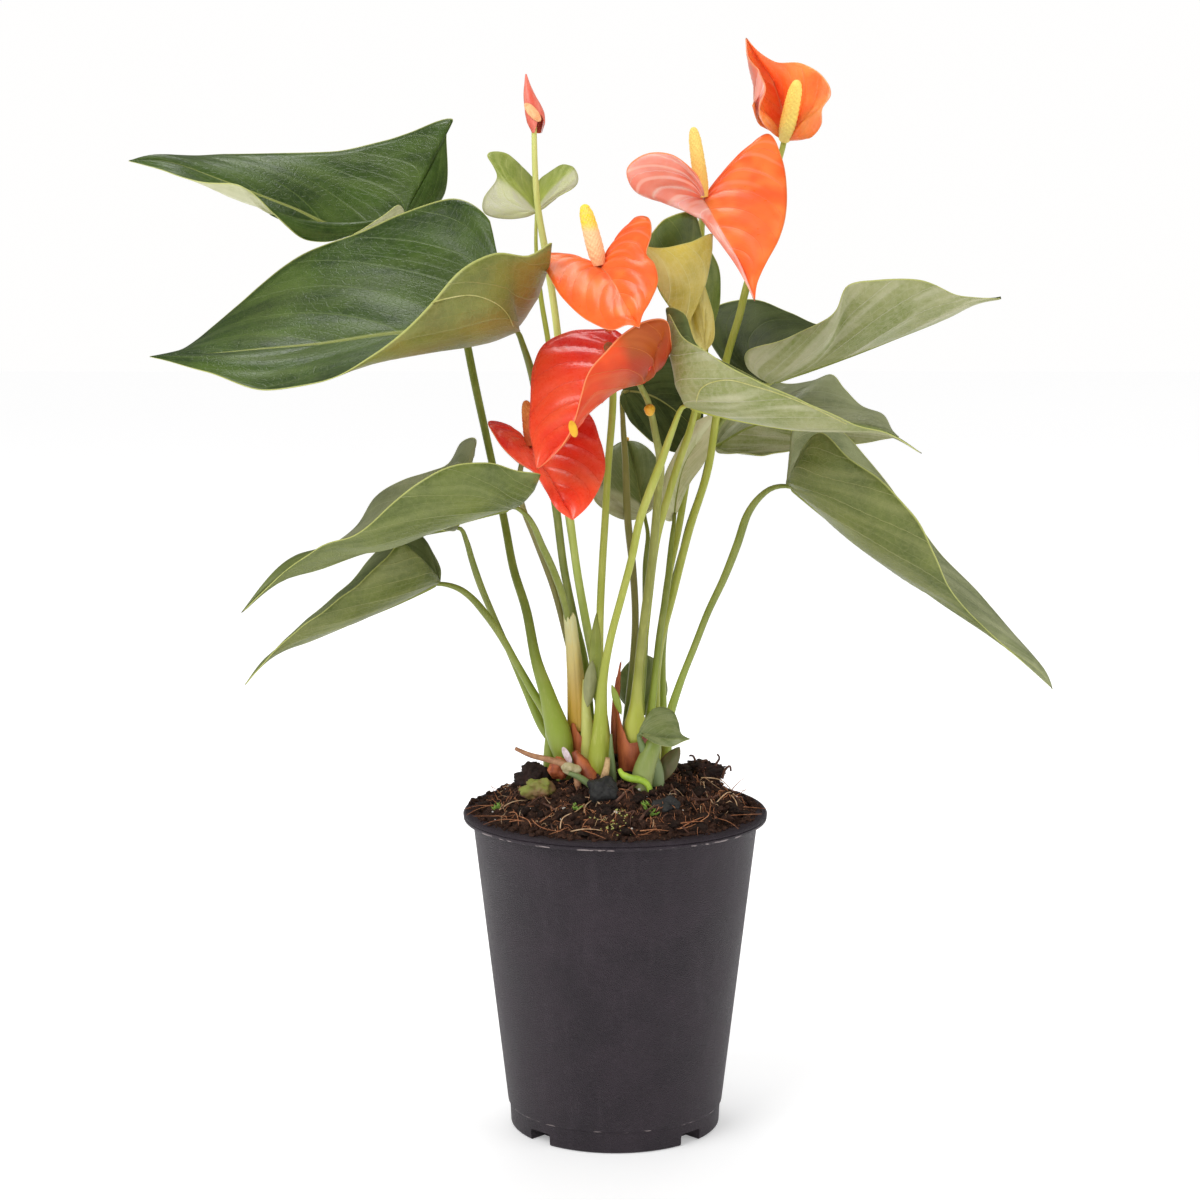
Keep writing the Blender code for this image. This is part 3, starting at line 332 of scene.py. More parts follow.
def noise_at(tree, vector, scale, detail=3.0, roughness=0.5):
    """Cloudy noise from 0 to 1, its spots about 1/scale millimetres across."""
    inputs = {"Vector": vector, "Scale": scale, "Detail": detail, "Roughness": roughness}
    return add_node(tree, "ShaderNodeTexNoise", inputs).outputs["Fac"]


def part_of(tree, vector, axis):
    """One number of a vector, X, Y or Z."""
    return add_node(tree, "ShaderNodeSeparateXYZ", {0: vector}).outputs[axis]


def set_surface(tree, shader, body, roughness, strength, depth, height, inward=False):
    """The colour, the roughness and the bumps of a finish, led to its shader."""
    bumps = {"Strength": strength, "Distance": depth, "Height": height}
    normal = add_node(tree, "ShaderNodeBump", bumps, invert=inward).outputs["Normal"]
    for label, value in (("Base Color", body), ("Roughness", roughness), ("Normal", normal)):
        tree.links.new(value, shader.inputs[label])


# Leather grain: small rounded cells with creases between them, from a moulding tool with an etched face
grain, inside, outside = new_group(
    "leather_grain",
    [("Vector", "NodeSocketVector", (0, 0, 0)), ("Cells", "NodeSocketFloat", 1.3)],
    [("Height", "NodeSocketFloat")],
)
inputs = {"Vector": inside["Vector"], "Scale": inside["Cells"]}
cells = add_node(grain, "ShaderNodeTexVoronoi", inputs, feature="DISTANCE_TO_EDGE")
creases = ramp(grain, cells.outputs["Distance"], 0.0, 0.28)
pits = noise_at(grain, inside["Vector"], 2.6, 2.0)
grain.links.new(maths(grain, "MULTIPLY_ADD", pits, 0.6, creases), outside["Height"])


def pot_plastic():
    look, tree, shader = new_material("pot_plastic")
    place = place_of(tree)
    cloud = noise_at(tree, place, 0.045, 4.0, 0.6)
    smear = noise_at(tree, place_of(tree, (0.4, 0.4, 0.06)), 0.5, 3.0)
    body = mixed(tree, ramp(tree, cloud, 0.3, 0.7), (38, 29, 37), (50, 40, 48))
    body = mixed(tree, ramp(tree, smear, 0.52, 0.75, 0, 0.2), body, (70, 60, 68))
    height = part_of(tree, place, "Z")
    flecks = ramp(tree, noise_at(tree, place_of(tree, (0.35, 0.35, 1)), 0.55, 2.0), 0.55, 0.62)
    marks = 0.0
    for line, width in ((POT_HEIGHT - LIP_HEIGHT + 0.3, 0.55), (STEP_HEIGHT - 0.25, 0.45)):
        near = maths(tree, "ABSOLUTE", maths(tree, "SUBTRACT", height, line))
        marks = maths(tree, "ADD", ramp(tree, near, width, 0.1), marks)
    dust = maths(tree, "MULTIPLY", marks, flecks)
    body = mixed(tree, maths(tree, "MULTIPLY", dust, DUST_SHARE), body, (206, 190, 188))
    shader.inputs["Specular IOR Level"].default_value = 0.38
    leather = add_node(tree, "ShaderNodeGroup", {"Vector": place}, node_tree=grain).outputs["Height"]
    set_surface(tree, shader, body, ramp(tree, cloud, 0.2, 0.8, 0.44, 0.56), 0.9, 0.0003, leather)
    return look


pot.data.materials.append(pot_plastic())
on_plant(pot, "pot")

# The peat: moist brown compost, packed to just under the lip and heaped round the crown. It is one rough
# mound, with crumbs, bark bits, fibres and white grit scattered over it from a fixed seed.
MOUND_REACH = 53.2
SCATTER_REACH = 52.5
WELD = 1e-5
MOUND_RADII = [0, 14, 23, 30, 37, 44, 50, 53.2]
MOUND_HEIGHTS = [143.5, 142.9, 139.9, 136.3, 133.2, 130.4, 128.2, 125.6]
HUMPS = [
    (36, 12, 12, 7.0), (22, 26, 14, 5.0), (-36, 16, 11, 4.0),
    (44, -6, 8, 3.0), (-12, 34, 16, 4.0), (18, -34, 9, 1.8),
]


def ground(x, y):
    """The height of the peat's surface at a place."""
    reach = math.hypot(x, y)
    height = float(np.interp(reach, MOUND_RADII, MOUND_HEIGHTS))
    edge = min(1.0, max(0.0, (MOUND_REACH + 1.4 - reach) / 12))
    height += noise.noise(Vector((x, y, 4.0)) * 0.11) * 2.4 * edge
    height += noise.fractal(Vector((x, y, 9.0)) * 0.28, 0.9, 2.1, 4) * 1.5 * edge
    for hump_x, hump_y, spread, rise in HUMPS:
        height += rise * edge * math.exp(-((x - hump_x) ** 2 + (y - hump_y) ** 2) / (0.5 * spread**2))
    return height


def skinned(bm, rows, closed=True, flipped=False):
    """Smooth faces between rows of points. Each row is a ring unless it is told to be open."""
    for low, high in zip(rows, rows[1:]):
        for j in range(len(low) if closed else len(low) - 1):
            after = (j + 1) % len(low)
            second, last = (high[j], low[after]) if flipped else (low[after], high[j])
            bm.faces.new((low[j], second, high[after], last)).smooth = True


def mesh_item(name, bm, look=None):
    """The mesh as an object, with its finish."""
    mesh = bpy.data.meshes.new(name)
    bm.to_mesh(mesh)
    bm.free()
    if look:
        mesh.materials.append(look)
    return linked(name, mesh)


def peat_mound(name, look):
    """A disc of rings that follows the ground, with a skirt that goes down inside the pot."""
    rings, around = 70, 220
    bm = bmesh.new()
    rows = []
    skirt = ((52.8, 122), (50.5, 100), (0.01, 100))
    for i in range(rings + 1 + len(skirt)):
        row = []
        for turn in (2 * math.pi * j / around for j in range(around)):
            if i <= rings:
                reach = MOUND_REACH * (i / rings) ** 0.85
                x, y = reach * math.cos(turn), reach * math.sin(turn)
                rough = noise.fractal(Vector((x, y, 2.0)) * 0.9, 0.8, 2.2, 3) * 0.55 if i < rings else 0
                height = ground(x, y) + rough
            else:
                reach, height = skirt[i - rings - 1]
                x, y = reach * math.cos(turn), reach * math.sin(turn)
            row.append(bm.verts.new((x * MM, y * MM, height * MM)))
        rows.append(row)
    skinned(bm, rows, flipped=True)
    bmesh.ops.remove_doubles(bm, verts=bm.verts, dist=WELD)
    return mesh_item(name, bm, look)


def peat_look(name, dark, mid, red):
    """Damp crumbs of two browns, with redder fibre between them."""
    look, tree, shader = new_material(name)
    place = place_of(tree)
    coarse = noise_at(tree, place, 0.22, 6.0, 0.65)
    fine = noise_at(tree, place, 1.4, 6.0, 0.7)
    body = mixed(tree, ramp(tree, coarse, 0.35, 0.68), dark, mid)
    body = mixed(tree, ramp(tree, fine, 0.5, 0.72), body, red)
    shader.inputs["Specular IOR Level"].default_value = 0.25
    height = maths(tree, "MULTIPLY_ADD", coarse, 0.5, fine)
    set_surface(tree, shader, body, ramp(tree, fine, 0.2, 0.8, 0.95, 0.72), 1.0, 0.0009, height)
    return look


peat_brown = peat_look("peat_brown", (38, 24, 19), (72, 48, 37), (112, 74, 54))
on_plant(peat_mound("peat_mound", peat_brown), "soil")

draw = random.Random(5)


def on_ground(most_reach=SCATTER_REACH):
    """A random place on the peat, in millimetres, clear of the middle of the crown."""
    reach = most_reach * math.sqrt(draw.uniform(0.02, 1))
    angle = draw.uniform(0, 2 * math.pi)
    x, y = reach * math.cos(angle), reach * math.sin(angle)
    return x, y, ground(x, y)


def crumbs(name, count, least, most, look, sink=0.25, flat=(0.5, 1.0), spot=None, spread=0.0,
           ring=None):
    """Rough lumps of many sizes, each pressed a little into the ground, all over it, round one spot, or on
    the rim between the two radii of the ring."""
    bm = bmesh.new()
    for number in range(count):
        x, y, z = on_ground()
        if spot:
            x, y = draw.gauss(spot[0], spread), draw.gauss(spot[1], spread)
            z = ground(x, y) + 0.6
        if ring:
            angle = 2 * math.pi * draw.random()
            reach = ring[0] + (ring[1] - ring[0]) * draw.random() ** 2
            x, y, z = reach * math.cos(angle), reach * math.sin(angle), POT_HEIGHT
        size = least + (most - least) * draw.random() ** 2.5
        made = bmesh.ops.create_icosphere(bm, subdivisions=2 if size > 1.4 else 1, radius=1)["verts"]
        stretch = Vector([size * draw.uniform(*span) for span in ((0.6, 1.25), (0.6, 1.25), flat)])
        tilts = Vector([draw.uniform(*span) for span in ((-0.5, 0.5), (-0.5, 0.5), (0, 6.3))])
        spin_x, spin_y, spin_z = (Matrix.Rotation(tilt, 3, axis) for tilt, axis in zip(tilts, "XYZ"))
        spin = spin_z @ spin_x @ spin_y
        for vertex in made:
            push = 1 + 0.45 * noise.noise(vertex.co * 1.9 + Vector((number * 7.3, 0, 0)))
            point = Vector([a * push * b for a, b in zip(vertex.co, stretch)])
            vertex.co = (spin @ point + Vector((x, y, z + size * (0.5 - sink)))) * MM
    on_plant(mesh_item(name, bm, look))


crumbs("peat_crumbs_brown", 2600, 0.3, 1.9, peat_brown)
peat_black = peat_look("peat_black", (26, 18, 15), (50, 36, 30), (76, 52, 40))
crumbs("peat_crumbs_black", 420, 0.4, 3.4, peat_black, flat=(0.3, 0.8))
peat_rust = peat_look("peat_rust", (84, 50, 34), (128, 84, 56), (170, 120, 84))
crumbs("peat_crumbs_rust", 520, 0.25, 1.1, peat_rust)


def plain_look(name, first, second, scale, roughness, bump_depth=0.0003, stretch=(1, 1, 1)):
    """A dull natural finish: two colours in clouds, with bumps of the same size."""
    look, tree, shader = new_material(name)
    cloud = noise_at(tree, place_of(tree, stretch), scale, 5.0, 0.6)
    body = mixed(tree, ramp(tree, cloud, 0.32, 0.68), first, second)
    dull = ramp(tree, cloud, 0.2, 0.8, roughness + 0.08, roughness - 0.08)
    set_surface(tree, shader, body, dull, 0.8, bump_depth, cloud)
    return look


grit_white = plain_look("grit_white", (206, 198, 188), (240, 236, 230), 1.2, 0.8)
crumbs("white_grit", 60, 0.25, 0.85, grit_white, sink=-0.5)


BEVEL_STEPS = 3
TUBE_WELD = 1e-7


def through(points, shares):
    """The smooth curve through these points, read at shares of the length from the first to the last."""
    keys = np.asarray(points, float)
    chords = np.linalg.norm(np.diff(keys, axis=0), axis=1)
    at = np.concatenate([[0], np.cumsum(chords)]) / chords.sum()
    knots = np.concatenate([[0], np.cumsum(np.sqrt(chords))])
    gaps = np.diff(knots)
    slopes = np.diff(keys, axis=0) / gaps[:, None]
    tangents = np.zeros_like(keys)
    if len(keys) == 2:
        tangents[:] = slopes[0]
    else:
        before, after = gaps[:-1, None], gaps[1:, None]
        tangents[1:-1] = (slopes[:-1] * after + slopes[1:] * before) / (before + after)
        tangents[0] = 1.5 * slopes[0] - 0.5 * tangents[1]
        tangents[-1] = 1.5 * slopes[-1] - 0.5 * tangents[-2]
    found = []
    for share in np.atleast_1d(shares):
        i = min(max(int(np.searchsorted(at, share, side="right")) - 1, 0), len(keys) - 2)
        t = (share - at[i]) / (at[i + 1] - at[i])
        found.append(
            (2 * t**3 - 3 * t**2 + 1) * keys[i]
            + (t**3 - 2 * t**2 + t) * gaps[i] * tangents[i]
            + (3 * t**2 - 2 * t**3) * keys[i + 1]
            + (t**3 - t**2) * gaps[i] * tangents[i + 1]
        )
    return np.array(found)


def tube(name, centres, widths):
    """A round stem as a bevelled curve through these centres, with a radius at each, made a mesh object."""
    curve = bpy.data.curves.new(name, "CURVE")
    curve.dimensions = "3D"
    curve.bevel_depth = MM
    curve.bevel_resolution = BEVEL_STEPS
    curve.use_fill_caps = True
    spline = curve.splines.new("POLY")
    spline.points.add(len(centres) - 1)
    for knot, centre, width in zip(spline.points, centres, widths):
        knot.co = (*(np.asarray(centre) * MM), 1)
        knot.radius = width
    holder = linked(name, curve)
    graph = bpy.context.evaluated_depsgraph_get()
    mesh = bpy.data.meshes.new_from_object(holder.evaluated_get(graph))
    bpy.data.objects.remove(holder)
    bpy.data.curves.remove(curve)
    bm = bmesh.new()
    bm.from_mesh(mesh)
    bmesh.ops.remove_doubles(bm, verts=bm.verts, dist=TUBE_WELD)
    bmesh.ops.recalc_face_normals(bm, faces=bm.faces)
    for face in bm.faces:
        face.smooth = True
    bm.to_mesh(mesh)
    bm.free()
    mesh.name = name
    return linked(name, mesh)


def strands(name, routes, look, around=5):
    """Thin strands as one mesh. A route is the points of one strand and its radius at each."""
    bm = bmesh.new()
    turns = [2 * math.pi * j / around for j in range(around)]
    for points, widths in routes:
        along = np.gradient(np.asarray(points, float), axis=0)
        side = np.cross(along, (0.13, 0.21, 0.97))
        side /= np.linalg.norm(side, axis=1)[:, None] + 1e-9
        over = np.cross(side, along)
        over /= np.linalg.norm(over, axis=1)[:, None] + 1e-9
        rows = []
        for point, width, a, b in zip(points, widths, side, over):
            ring = [point + width * (math.cos(t) * a + math.sin(t) * b) for t in turns]
            rows.append([bm.verts.new(place * MM) for place in ring])
        skinned(bm, rows)
        bm.faces.new(rows[0][::-1])
        bm.faces.new(rows[-1])
    bmesh.ops.recalc_face_normals(bm, faces=bm.faces)
    on_plant(mesh_item(name, bm, look))


def wandering(count, length, radius, rise=0.5, curl=0.5, most_reach=51):
    """Routes of roots and fibres that wander over the ground, in and out of it."""
    made = []
    for _ in range(count):
        x, y, _ = on_ground(most_reach)
        heading = draw.uniform(0, 2 * math.pi)
        reach = draw.uniform(*length)
        steps = 6
        keys = []
        for _ in range(steps):
            keys.append((x, y, ground(x, y) + draw.uniform(-0.3, 1.0) * rise))
            heading += draw.uniform(-curl, curl)
            x += math.cos(heading) * reach / steps
            y += math.sin(heading) * reach / steps
            if math.hypot(x, y) > SCATTER_REACH:
                break
        if len(keys) > 2:
            shares = np.linspace(0, 1, 10)
            made.append((through(keys, shares), draw.uniform(*radius) * (1 - 0.6 * shares)))
    return made


def laid(paths, radius, rise=1.6):
    """Routes of roots seen one by one, each by its places on the peat, from its thick end to its thin one."""
    shares = np.linspace(0, 1, 14)
    made = []
    for path in paths:
        keys = [(x, y, ground(x, y) + rise * (0.5 + 0.5 * (i % 2))) for i, (x, y) in enumerate(path)]
        made.append((through(keys, shares), radius * (1 - 0.5 * shares)))
    return made


fibre_rust = plain_look("fibre_rust", (150, 88, 54), (206, 142, 98), 0.6, 0.7)
RUST_ROOTS = [
    [(-41, -24), (-38, -31), (-37, -36)],
    [(-32, -35), (-28, -43), (-21, -47)],
    [(22, -42), (28, -41), (36, -35)],
    [(35, -23), (35, -34), (28, -42), (23, -46)],
    [(-37, -32), (-33, -38), (-32, -40)],
    [(-41, -31), (-37, -35), (-32, -38)],
    [(-30, -38), (-26, -37), (-24, -33)],
    [(24, -44), (30, -39), (37, -28)],
    [(9, -49), (15, -49), (20, -47)],
]
rust = wandering(420, (4, 12), (0.09, 0.19), rise=2.0)
strands("peat_fibres", rust + laid(RUST_ROOTS, 0.22, 2.2), fibre_rust)
root_straw = plain_look("root_straw", (186, 142, 100), (228, 196, 158), 0.5, 0.65)
STRAW_ROOTS = [
    [(-12, -38), (-11, -31), (-7, -28)],
    [(-21, -46), (-20, -42), (-15, -38), (-12, -33)],
    [(35, 3), (35, -7), (36, -15)],
    [(44, -4), (47, -10), (47, -18)],
    [(39, -16), (44, -8), (48, 2)],
    [(-17, -48), (-11, -50), (-5, -50)],
    [(34, 4), (42, 8), (47, 12)],
    [(-45, -19), (-40, -18), (-34, -16)],
    [(-6, -31), (-10, -28), (-16, -27)],
]
straw = wandering(70, (6, 16), (0.09, 0.18), rise=2.4)
strands("fine_roots", straw + laid(STRAW_ROOTS, 0.26, 2.4), root_straw)
root_brown = plain_look("root_brown", (74, 48, 38), (112, 76, 60), 0.4, 0.75)
BROWN_ROOTS = [
    [(0, -32), (7, -25), (12, -18)],
    [(-37, -7), (-27, -27), (-21, -35)],
    [(9, -44), (14, -36), (20, -34)],
    [(29, -19), (35, -16), (41, -8)],
]
brown = wandering(110, (5, 14), (0.2, 0.42), rise=2.6, curl=0.9)
strands("dark_roots", brown + laid(BROWN_ROOTS, 0.7, 1.8), root_brown)

# Stiff hairs of root fibre that stand up out of the peat at both sides of the rim, and short root hooks on
# the heap at the right. They are the ends of old roots that the compost holds fast.
HAIRS = [
    [(-46, 2, 129), (-48, 0, 134), (-49.5, -1, 138)],
    [(-44, 4, 130), (-47.5, 3, 134), (-51, 2, 136)],
    [(46, 4, 133), (49, 2, 137), (53, 0, 140)],
    [(47, 2, 131), (51, 0, 134), (53, -1, 137)],
]
HOOKS = [
    [(31, 14, 139), (32, 14, 143), (31, 14, 145), (29.6, 14, 145)],
    [(34, 12, 139), (35, 12, 143), (36.5, 12, 143.6), (37, 12, 141)],
    [(39, 10, 138), (40, 10, 142), (41.5, 10, 145), (40.6, 10, 146.5)],
    [(42.5, 8, 137), (44, 8, 141), (45.5, 8, 142), (46, 8, 140)],
]
shares = np.linspace(0, 1, 14)
strands("standing_hairs", [(through(keys, shares), 0.2 * (1.1 - shares)) for keys in HAIRS], fibre_rust)
strands("root_hooks", [(through(keys, shares), 0.55 * (1.2 - 0.5 * shares)) for keys in HOOKS], root_brown)

# Green on the peat: four small tufts of moss, soft upright blades that root in the damp crumbs, and a
# scatter of round seedlings near the front of the rim.
moss_green = plain_look("moss_green", (92, 132, 52), (150, 182, 74), 0.7, 0.6)
TUFT_BLADES = 13
TUFTS = ((-46, -16, 1.8), (-15, -35, 1.3), (12, -34, 1.9), (14, -37, 1.2))
blades = []
for tuft_x, tuft_y, size in TUFTS:
    for _ in range(TUFT_BLADES):
        lean = Vector((draw.uniform(-1, 1), draw.uniform(-1, 1), draw.uniform(0.5, 1.3))) * size
        foot = Vector((tuft_x + draw.uniform(-1.2, 1.2), tuft_y + draw.uniform(-1.2, 1.2), 0))
        foot.z = ground(foot.x, foot.y) + 0.5
        keys = [foot, foot + lean * 0.6, foot + lean * 1.2 + Vector((lean.x, lean.y, -0.3)) * 0.3]
        blades.append((through(keys, shares), 0.36 * np.sin(np.pi * (0.15 + 0.8 * shares))))
strands("moss_tufts", blades, moss_green)
seedling = plain_look("seedling_green", (168, 176, 84), (206, 206, 128), 0.7, 0.6)
crumbs("seedlings", 46, 0.28, 0.6, seedling, sink=-0.6, spot=(0, -44), spread=4.2)

# A leaf is one blade on a round green petiole. Its veins fan out from the join into the two lobes and leave
# the midrib further on; they are sunk in the upper face and stand out below. The petiole goes on under the
# midrib as a keel that thins towards the tip.
BLADE_ROWS = 91
BLADE_COLUMNS = 20
LOBE_SHARE = 0.38
MOST_BULGE = 0.3
LEAST_FAN = math.radians(8)
FAN_STEP = 7
VEIN_COUNT = 8.0
VEIN_LEAN = 0.28
STEM_FOOT = 131.0
STEM_STRAIGHT = 147.0
SLIM = 0.78
SLIM_HEIGHTS = (160.0, 184.0)
LEAF_SHEET = 0.36
LEAF_GLOSS = 0.36
PALE_MARGIN = (190, 194, 112)
GLOW_REACH = (1.0, 0.35, 0.15)
GLOW_DEPTH = 0.002


def smoothed(values, width):
    """The values with their corners rounded over this many of them, and their ends kept."""
    padded = np.concatenate([np.full(width, values[0]), values, np.full(width, values[-1])])
    kernel = np.hanning(2 * width + 1)
    return np.convolve(padded, kernel / kernel.sum(), "same")[width:-width]


def half_blade(ribs, rows, join, margin, tip, side, ease):
    """Rows of points from the midrib to one margin. A margin key's fourth number is how far the row bulges
    towards the upper face, in millimetres. Ease is over how many rows a change of the bulge is spread."""
    outline = [join, *[key[:3] for key in margin], tip]
    edge = through(outline, rows)
    chords = np.linalg.norm(np.diff(np.asarray(outline, float), axis=0), axis=1)
    at = np.concatenate([[0], np.cumsum(chords)]) / chords.sum()
    bulge = np.interp(rows, at, [0, *[key[3] if len(key) > 3 else 1.5 for key in margin], 0])
    bulge = smoothed(bulge, 5)
    along = np.gradient(edge, axis=0)
    across = edge - ribs
    reach = np.linalg.norm(across, axis=1)
    bulge = np.clip(bulge, -MOST_BULGE * reach, MOST_BULGE * reach)
    up = np.cross(across * side, along)
    height = np.linalg.norm(up, axis=1) + 1e-9
    slant = height / (reach * np.linalg.norm(along, axis=1) + 1e-9)
    up *= (np.minimum(2 * slant, 1) / height)[:, None]
    lift = up * bulge[:, None]
    if ease:
        lift = np.column_stack([smoothed(lift[:, axis], ease) for axis in range(3)])
    shares = np.linspace(0, 1, BLADE_COLUMNS + 1) ** 1.35
    arch = 4 * shares * (1 - shares)
    points = ribs[:, None] + across[:, None] * shares[None, :, None] + lift[:, None] * arch[None, :, None]
    return points, up, reach, shares


def first_row(points):
    """The row that a half starts with. The rows before it lie along one another, where a lobe's inner edge
    runs straight out from the join."""
    lines = points[:, -1] - points[:, 0]
    for i in range(1, BLADE_ROWS - FAN_STEP):
        if Vector(lines[i]).angle(Vector(lines[i + FAN_STEP])) > LEAST_FAN:
            return i
    return 1


def sunk(rows, shares, reach, depth, rib_depth, count):
    """How far each point of a half sinks for the veins and the midrib, in millimetres."""
    u, v = rows[:, None], shares[None, :]
    phase = count * (u - VEIN_LEAN * v**1.4)
    off = np.abs(phase - np.round(phase))
    spread = np.minimum(1, reach[:, None] / 30)
    calm = np.minimum(1, v / 0.12) * np.minimum(1, (1 - v) / 0.1)
    quilt = 0.5 + 0.5 * np.cos(2 * np.pi * phase)
    uneven = 0.75 + 0.5 * np.array([noise.noise(Vector((row * 6, count, 0))) for row in rows])
    veins = depth * uneven[:, None] * spread * calm * (0.4 * quilt + 0.5 * np.exp(-((off / 0.09) ** 2)))
    rib = rib_depth * (1 - 0.6 * u) * np.exp(-((v * reach[:, None] / 1.7) ** 2))
    return veins + rib


def thickened(item, thickness, under=0):
    """The sheet with this thickness in millimetres, its other face and its rim in a later finish."""
    solid = item.modifiers.new("thickness", "SOLIDIFY")
    solid.thickness = thickness * MM
    solid.offset = 0
    solid.material_offset = under
    solid.material_offset_rim = under
    solid.use_even_offset = False
    return apply_modifiers(item)


def blade(name, join, rib, tip, left, right, lobes, depth, rib_depth, thickness, waver, looks,
          count=VEIN_COUNT, turned_half=0, ease=0):
    """A blade as a mesh object with a finish for each face, and the line under its midrib. The turned half,
    -1 the left and 1 the right, is rolled over, so its two faces change places."""
    rows = np.linspace(0, 1, BLADE_ROWS + 1)
    shares = np.clip((rows - lobes) / (1 - lobes), 0, 1) ** 1.25
    ribs = through([join, *rib, tip], shares)
    bm = bmesh.new()
    map_layer = bm.loops.layers.uv.new("blade")
    ups = []
    for margin, side in ((left, -1), (right, 1)):
        points, up, reach, across = half_blade(ribs, rows, join, margin, tip, side, ease)
        ups.append(up)
        down = sunk(rows, across, reach, depth, rib_depth, count)
        edge_wave = np.array([noise.noise(Vector((row * 9, side * 4.0, len(name)))) for row in rows])
        down = down + waver * edge_wave[:, None] * across[None, :] ** 2 * np.minimum(1, reach / 20)[:, None]
        normal = up / (np.linalg.norm(up, axis=1)[:, None] + 1e-9)
        points = points - normal[:, None] * down[:, :, None]
        points[rows <= lobes, 0] = points[0, 0]
        start = first_row(points)
        corners = {}
        for i, j in product(range(start, BLADE_ROWS + 1), range(BLADE_COLUMNS + 1)):
            corners[i, j] = bm.verts.new(points[i, j] * MM)
        for i, j in product(range(start, BLADE_ROWS), range(BLADE_COLUMNS)):
            ring = [(i, j), (i + 1, j), (i + 1, j + 1), (i, j + 1)]
            if side > 0:
                ring.reverse()
            face = bm.faces.new([corners[key] for key in ring])
            face.smooth = True
            for loop, (row, column) in zip(face.loops, ring):
                loop[map_layer].uv = (rows[row], 0.5 + 0.5 * side * across[column])
    bmesh.ops.remove_doubles(bm, verts=bm.verts, dist=2 * WELD)
    item = mesh_item(name, bm)
    for look in looks:
        item.data.materials.append(look)
    thickened(item, thickness, under=1)
    where = item.data.uv_layers["blade"].uv
    for face in item.data.polygons:
        middle = sum(where[i].vector.y for i in face.loop_indices) / len(face.loop_indices) - 0.5
        if middle * turned_half > 0:
            face.material_index = 1 - face.material_index
    up = ups[0] + ups[1]
    up /= np.linalg.norm(up, axis=1)[:, None] + 1e-9
    return item, (ribs, up, shares)


# Veins and edges of a blade, drawn from its own map: u runs along the margin and v across from the midrib
vein_group, inside, outside = new_group(
    "blade_veins",
    [
        ("Map", "NodeSocketVector", (0, 0, 0)),
        ("Count", "NodeSocketFloat", VEIN_COUNT),
        ("Lean", "NodeSocketFloat", VEIN_LEAN),
        ("Width", "NodeSocketFloat", 0.05),
        ("Drift", "NodeSocketVector", (0, 0, 0)),
    ],
    [(label, "NodeSocketFloat") for label in ("Veins", "Side veins", "Rib", "Margin", "Bands")],
)
v = maths(vein_group, "MULTIPLY_ADD", part_of(vein_group, inside["Map"], "Y"), 2.0, -1.0)
v = maths(vein_group, "ABSOLUTE", v)
bent = maths(vein_group, "MULTIPLY", maths(vein_group, "POWER", v, 1.4), inside["Lean"])
phase = maths(vein_group, "SUBTRACT", part_of(vein_group, inside["Map"], "X"), bent)
phase = maths(vein_group, "MULTIPLY", phase, inside["Count"])


def lines_of(tree, phase, width):
    """A mask of thin lines where the phase is whole."""
    off = maths(tree, "ABSOLUTE", maths(tree, "SUBTRACT", phase, maths(tree, "ROUND", phase)))
    return ramp(tree, off, width, maths(tree, "MULTIPLY", width, 0.25))


thin = maths(vein_group, "MULTIPLY", inside["Width"], maths(vein_group, "MULTIPLY_ADD", v, -0.55, 1.0))
vein_group.links.new(lines_of(vein_group, phase, thin), outside["Veins"])
thick = maths(vein_group, "MULTIPLY", thin, 1.8)
side_veins = lines_of(vein_group, maths(vein_group, "MULTIPLY", phase, 3.0), thick)
vein_group.links.new(side_veins, outside["Side veins"])
vein_group.links.new(ramp(vein_group, v, 0.035, 0.01), outside["Rib"])
vein_group.links.new(ramp(vein_group, v, 0.985, 0.998), outside["Margin"])
flow = add_node(vein_group, "ShaderNodeCombineXYZ", {"X": phase, "Y": v})
flow = add_node(vein_group, "ShaderNodeVectorMath", {0: flow.outputs[0], 1: inside["Drift"]}, operation="ADD")
bands = ramp(vein_group, noise_at(vein_group, flow.outputs[0], 1.3, 2.0), 0.42, 0.62)
vein_group.links.new(bands, outside["Bands"])

# The fine net of veins between the side veins
net_group, inside, outside = new_group(
    "vein_net",
    [("Vector", "NodeSocketVector", (0, 0, 0)), ("Cells", "NodeSocketFloat", 0.4)],
    [("Net", "NodeSocketFloat")],
)
bend = add_node(net_group, "ShaderNodeTexNoise", {"Vector": inside["Vector"], "Scale": 0.3, "Detail": 2.0})
shifted = add_node(
    net_group,
    "ShaderNodeVectorMath",
    {0: bend.outputs["Color"], 1: (2.0, 2.0, 2.0), 2: inside["Vector"]},
    operation="MULTIPLY_ADD",
).outputs[0]
inputs = {"Vector": shifted, "Scale": inside["Cells"]}
cells = add_node(net_group, "ShaderNodeTexVoronoi", inputs, feature="DISTANCE_TO_EDGE")
net_group.links.new(ramp(net_group, cells.outputs["Distance"], 0.12, 0.0), outside["Net"])


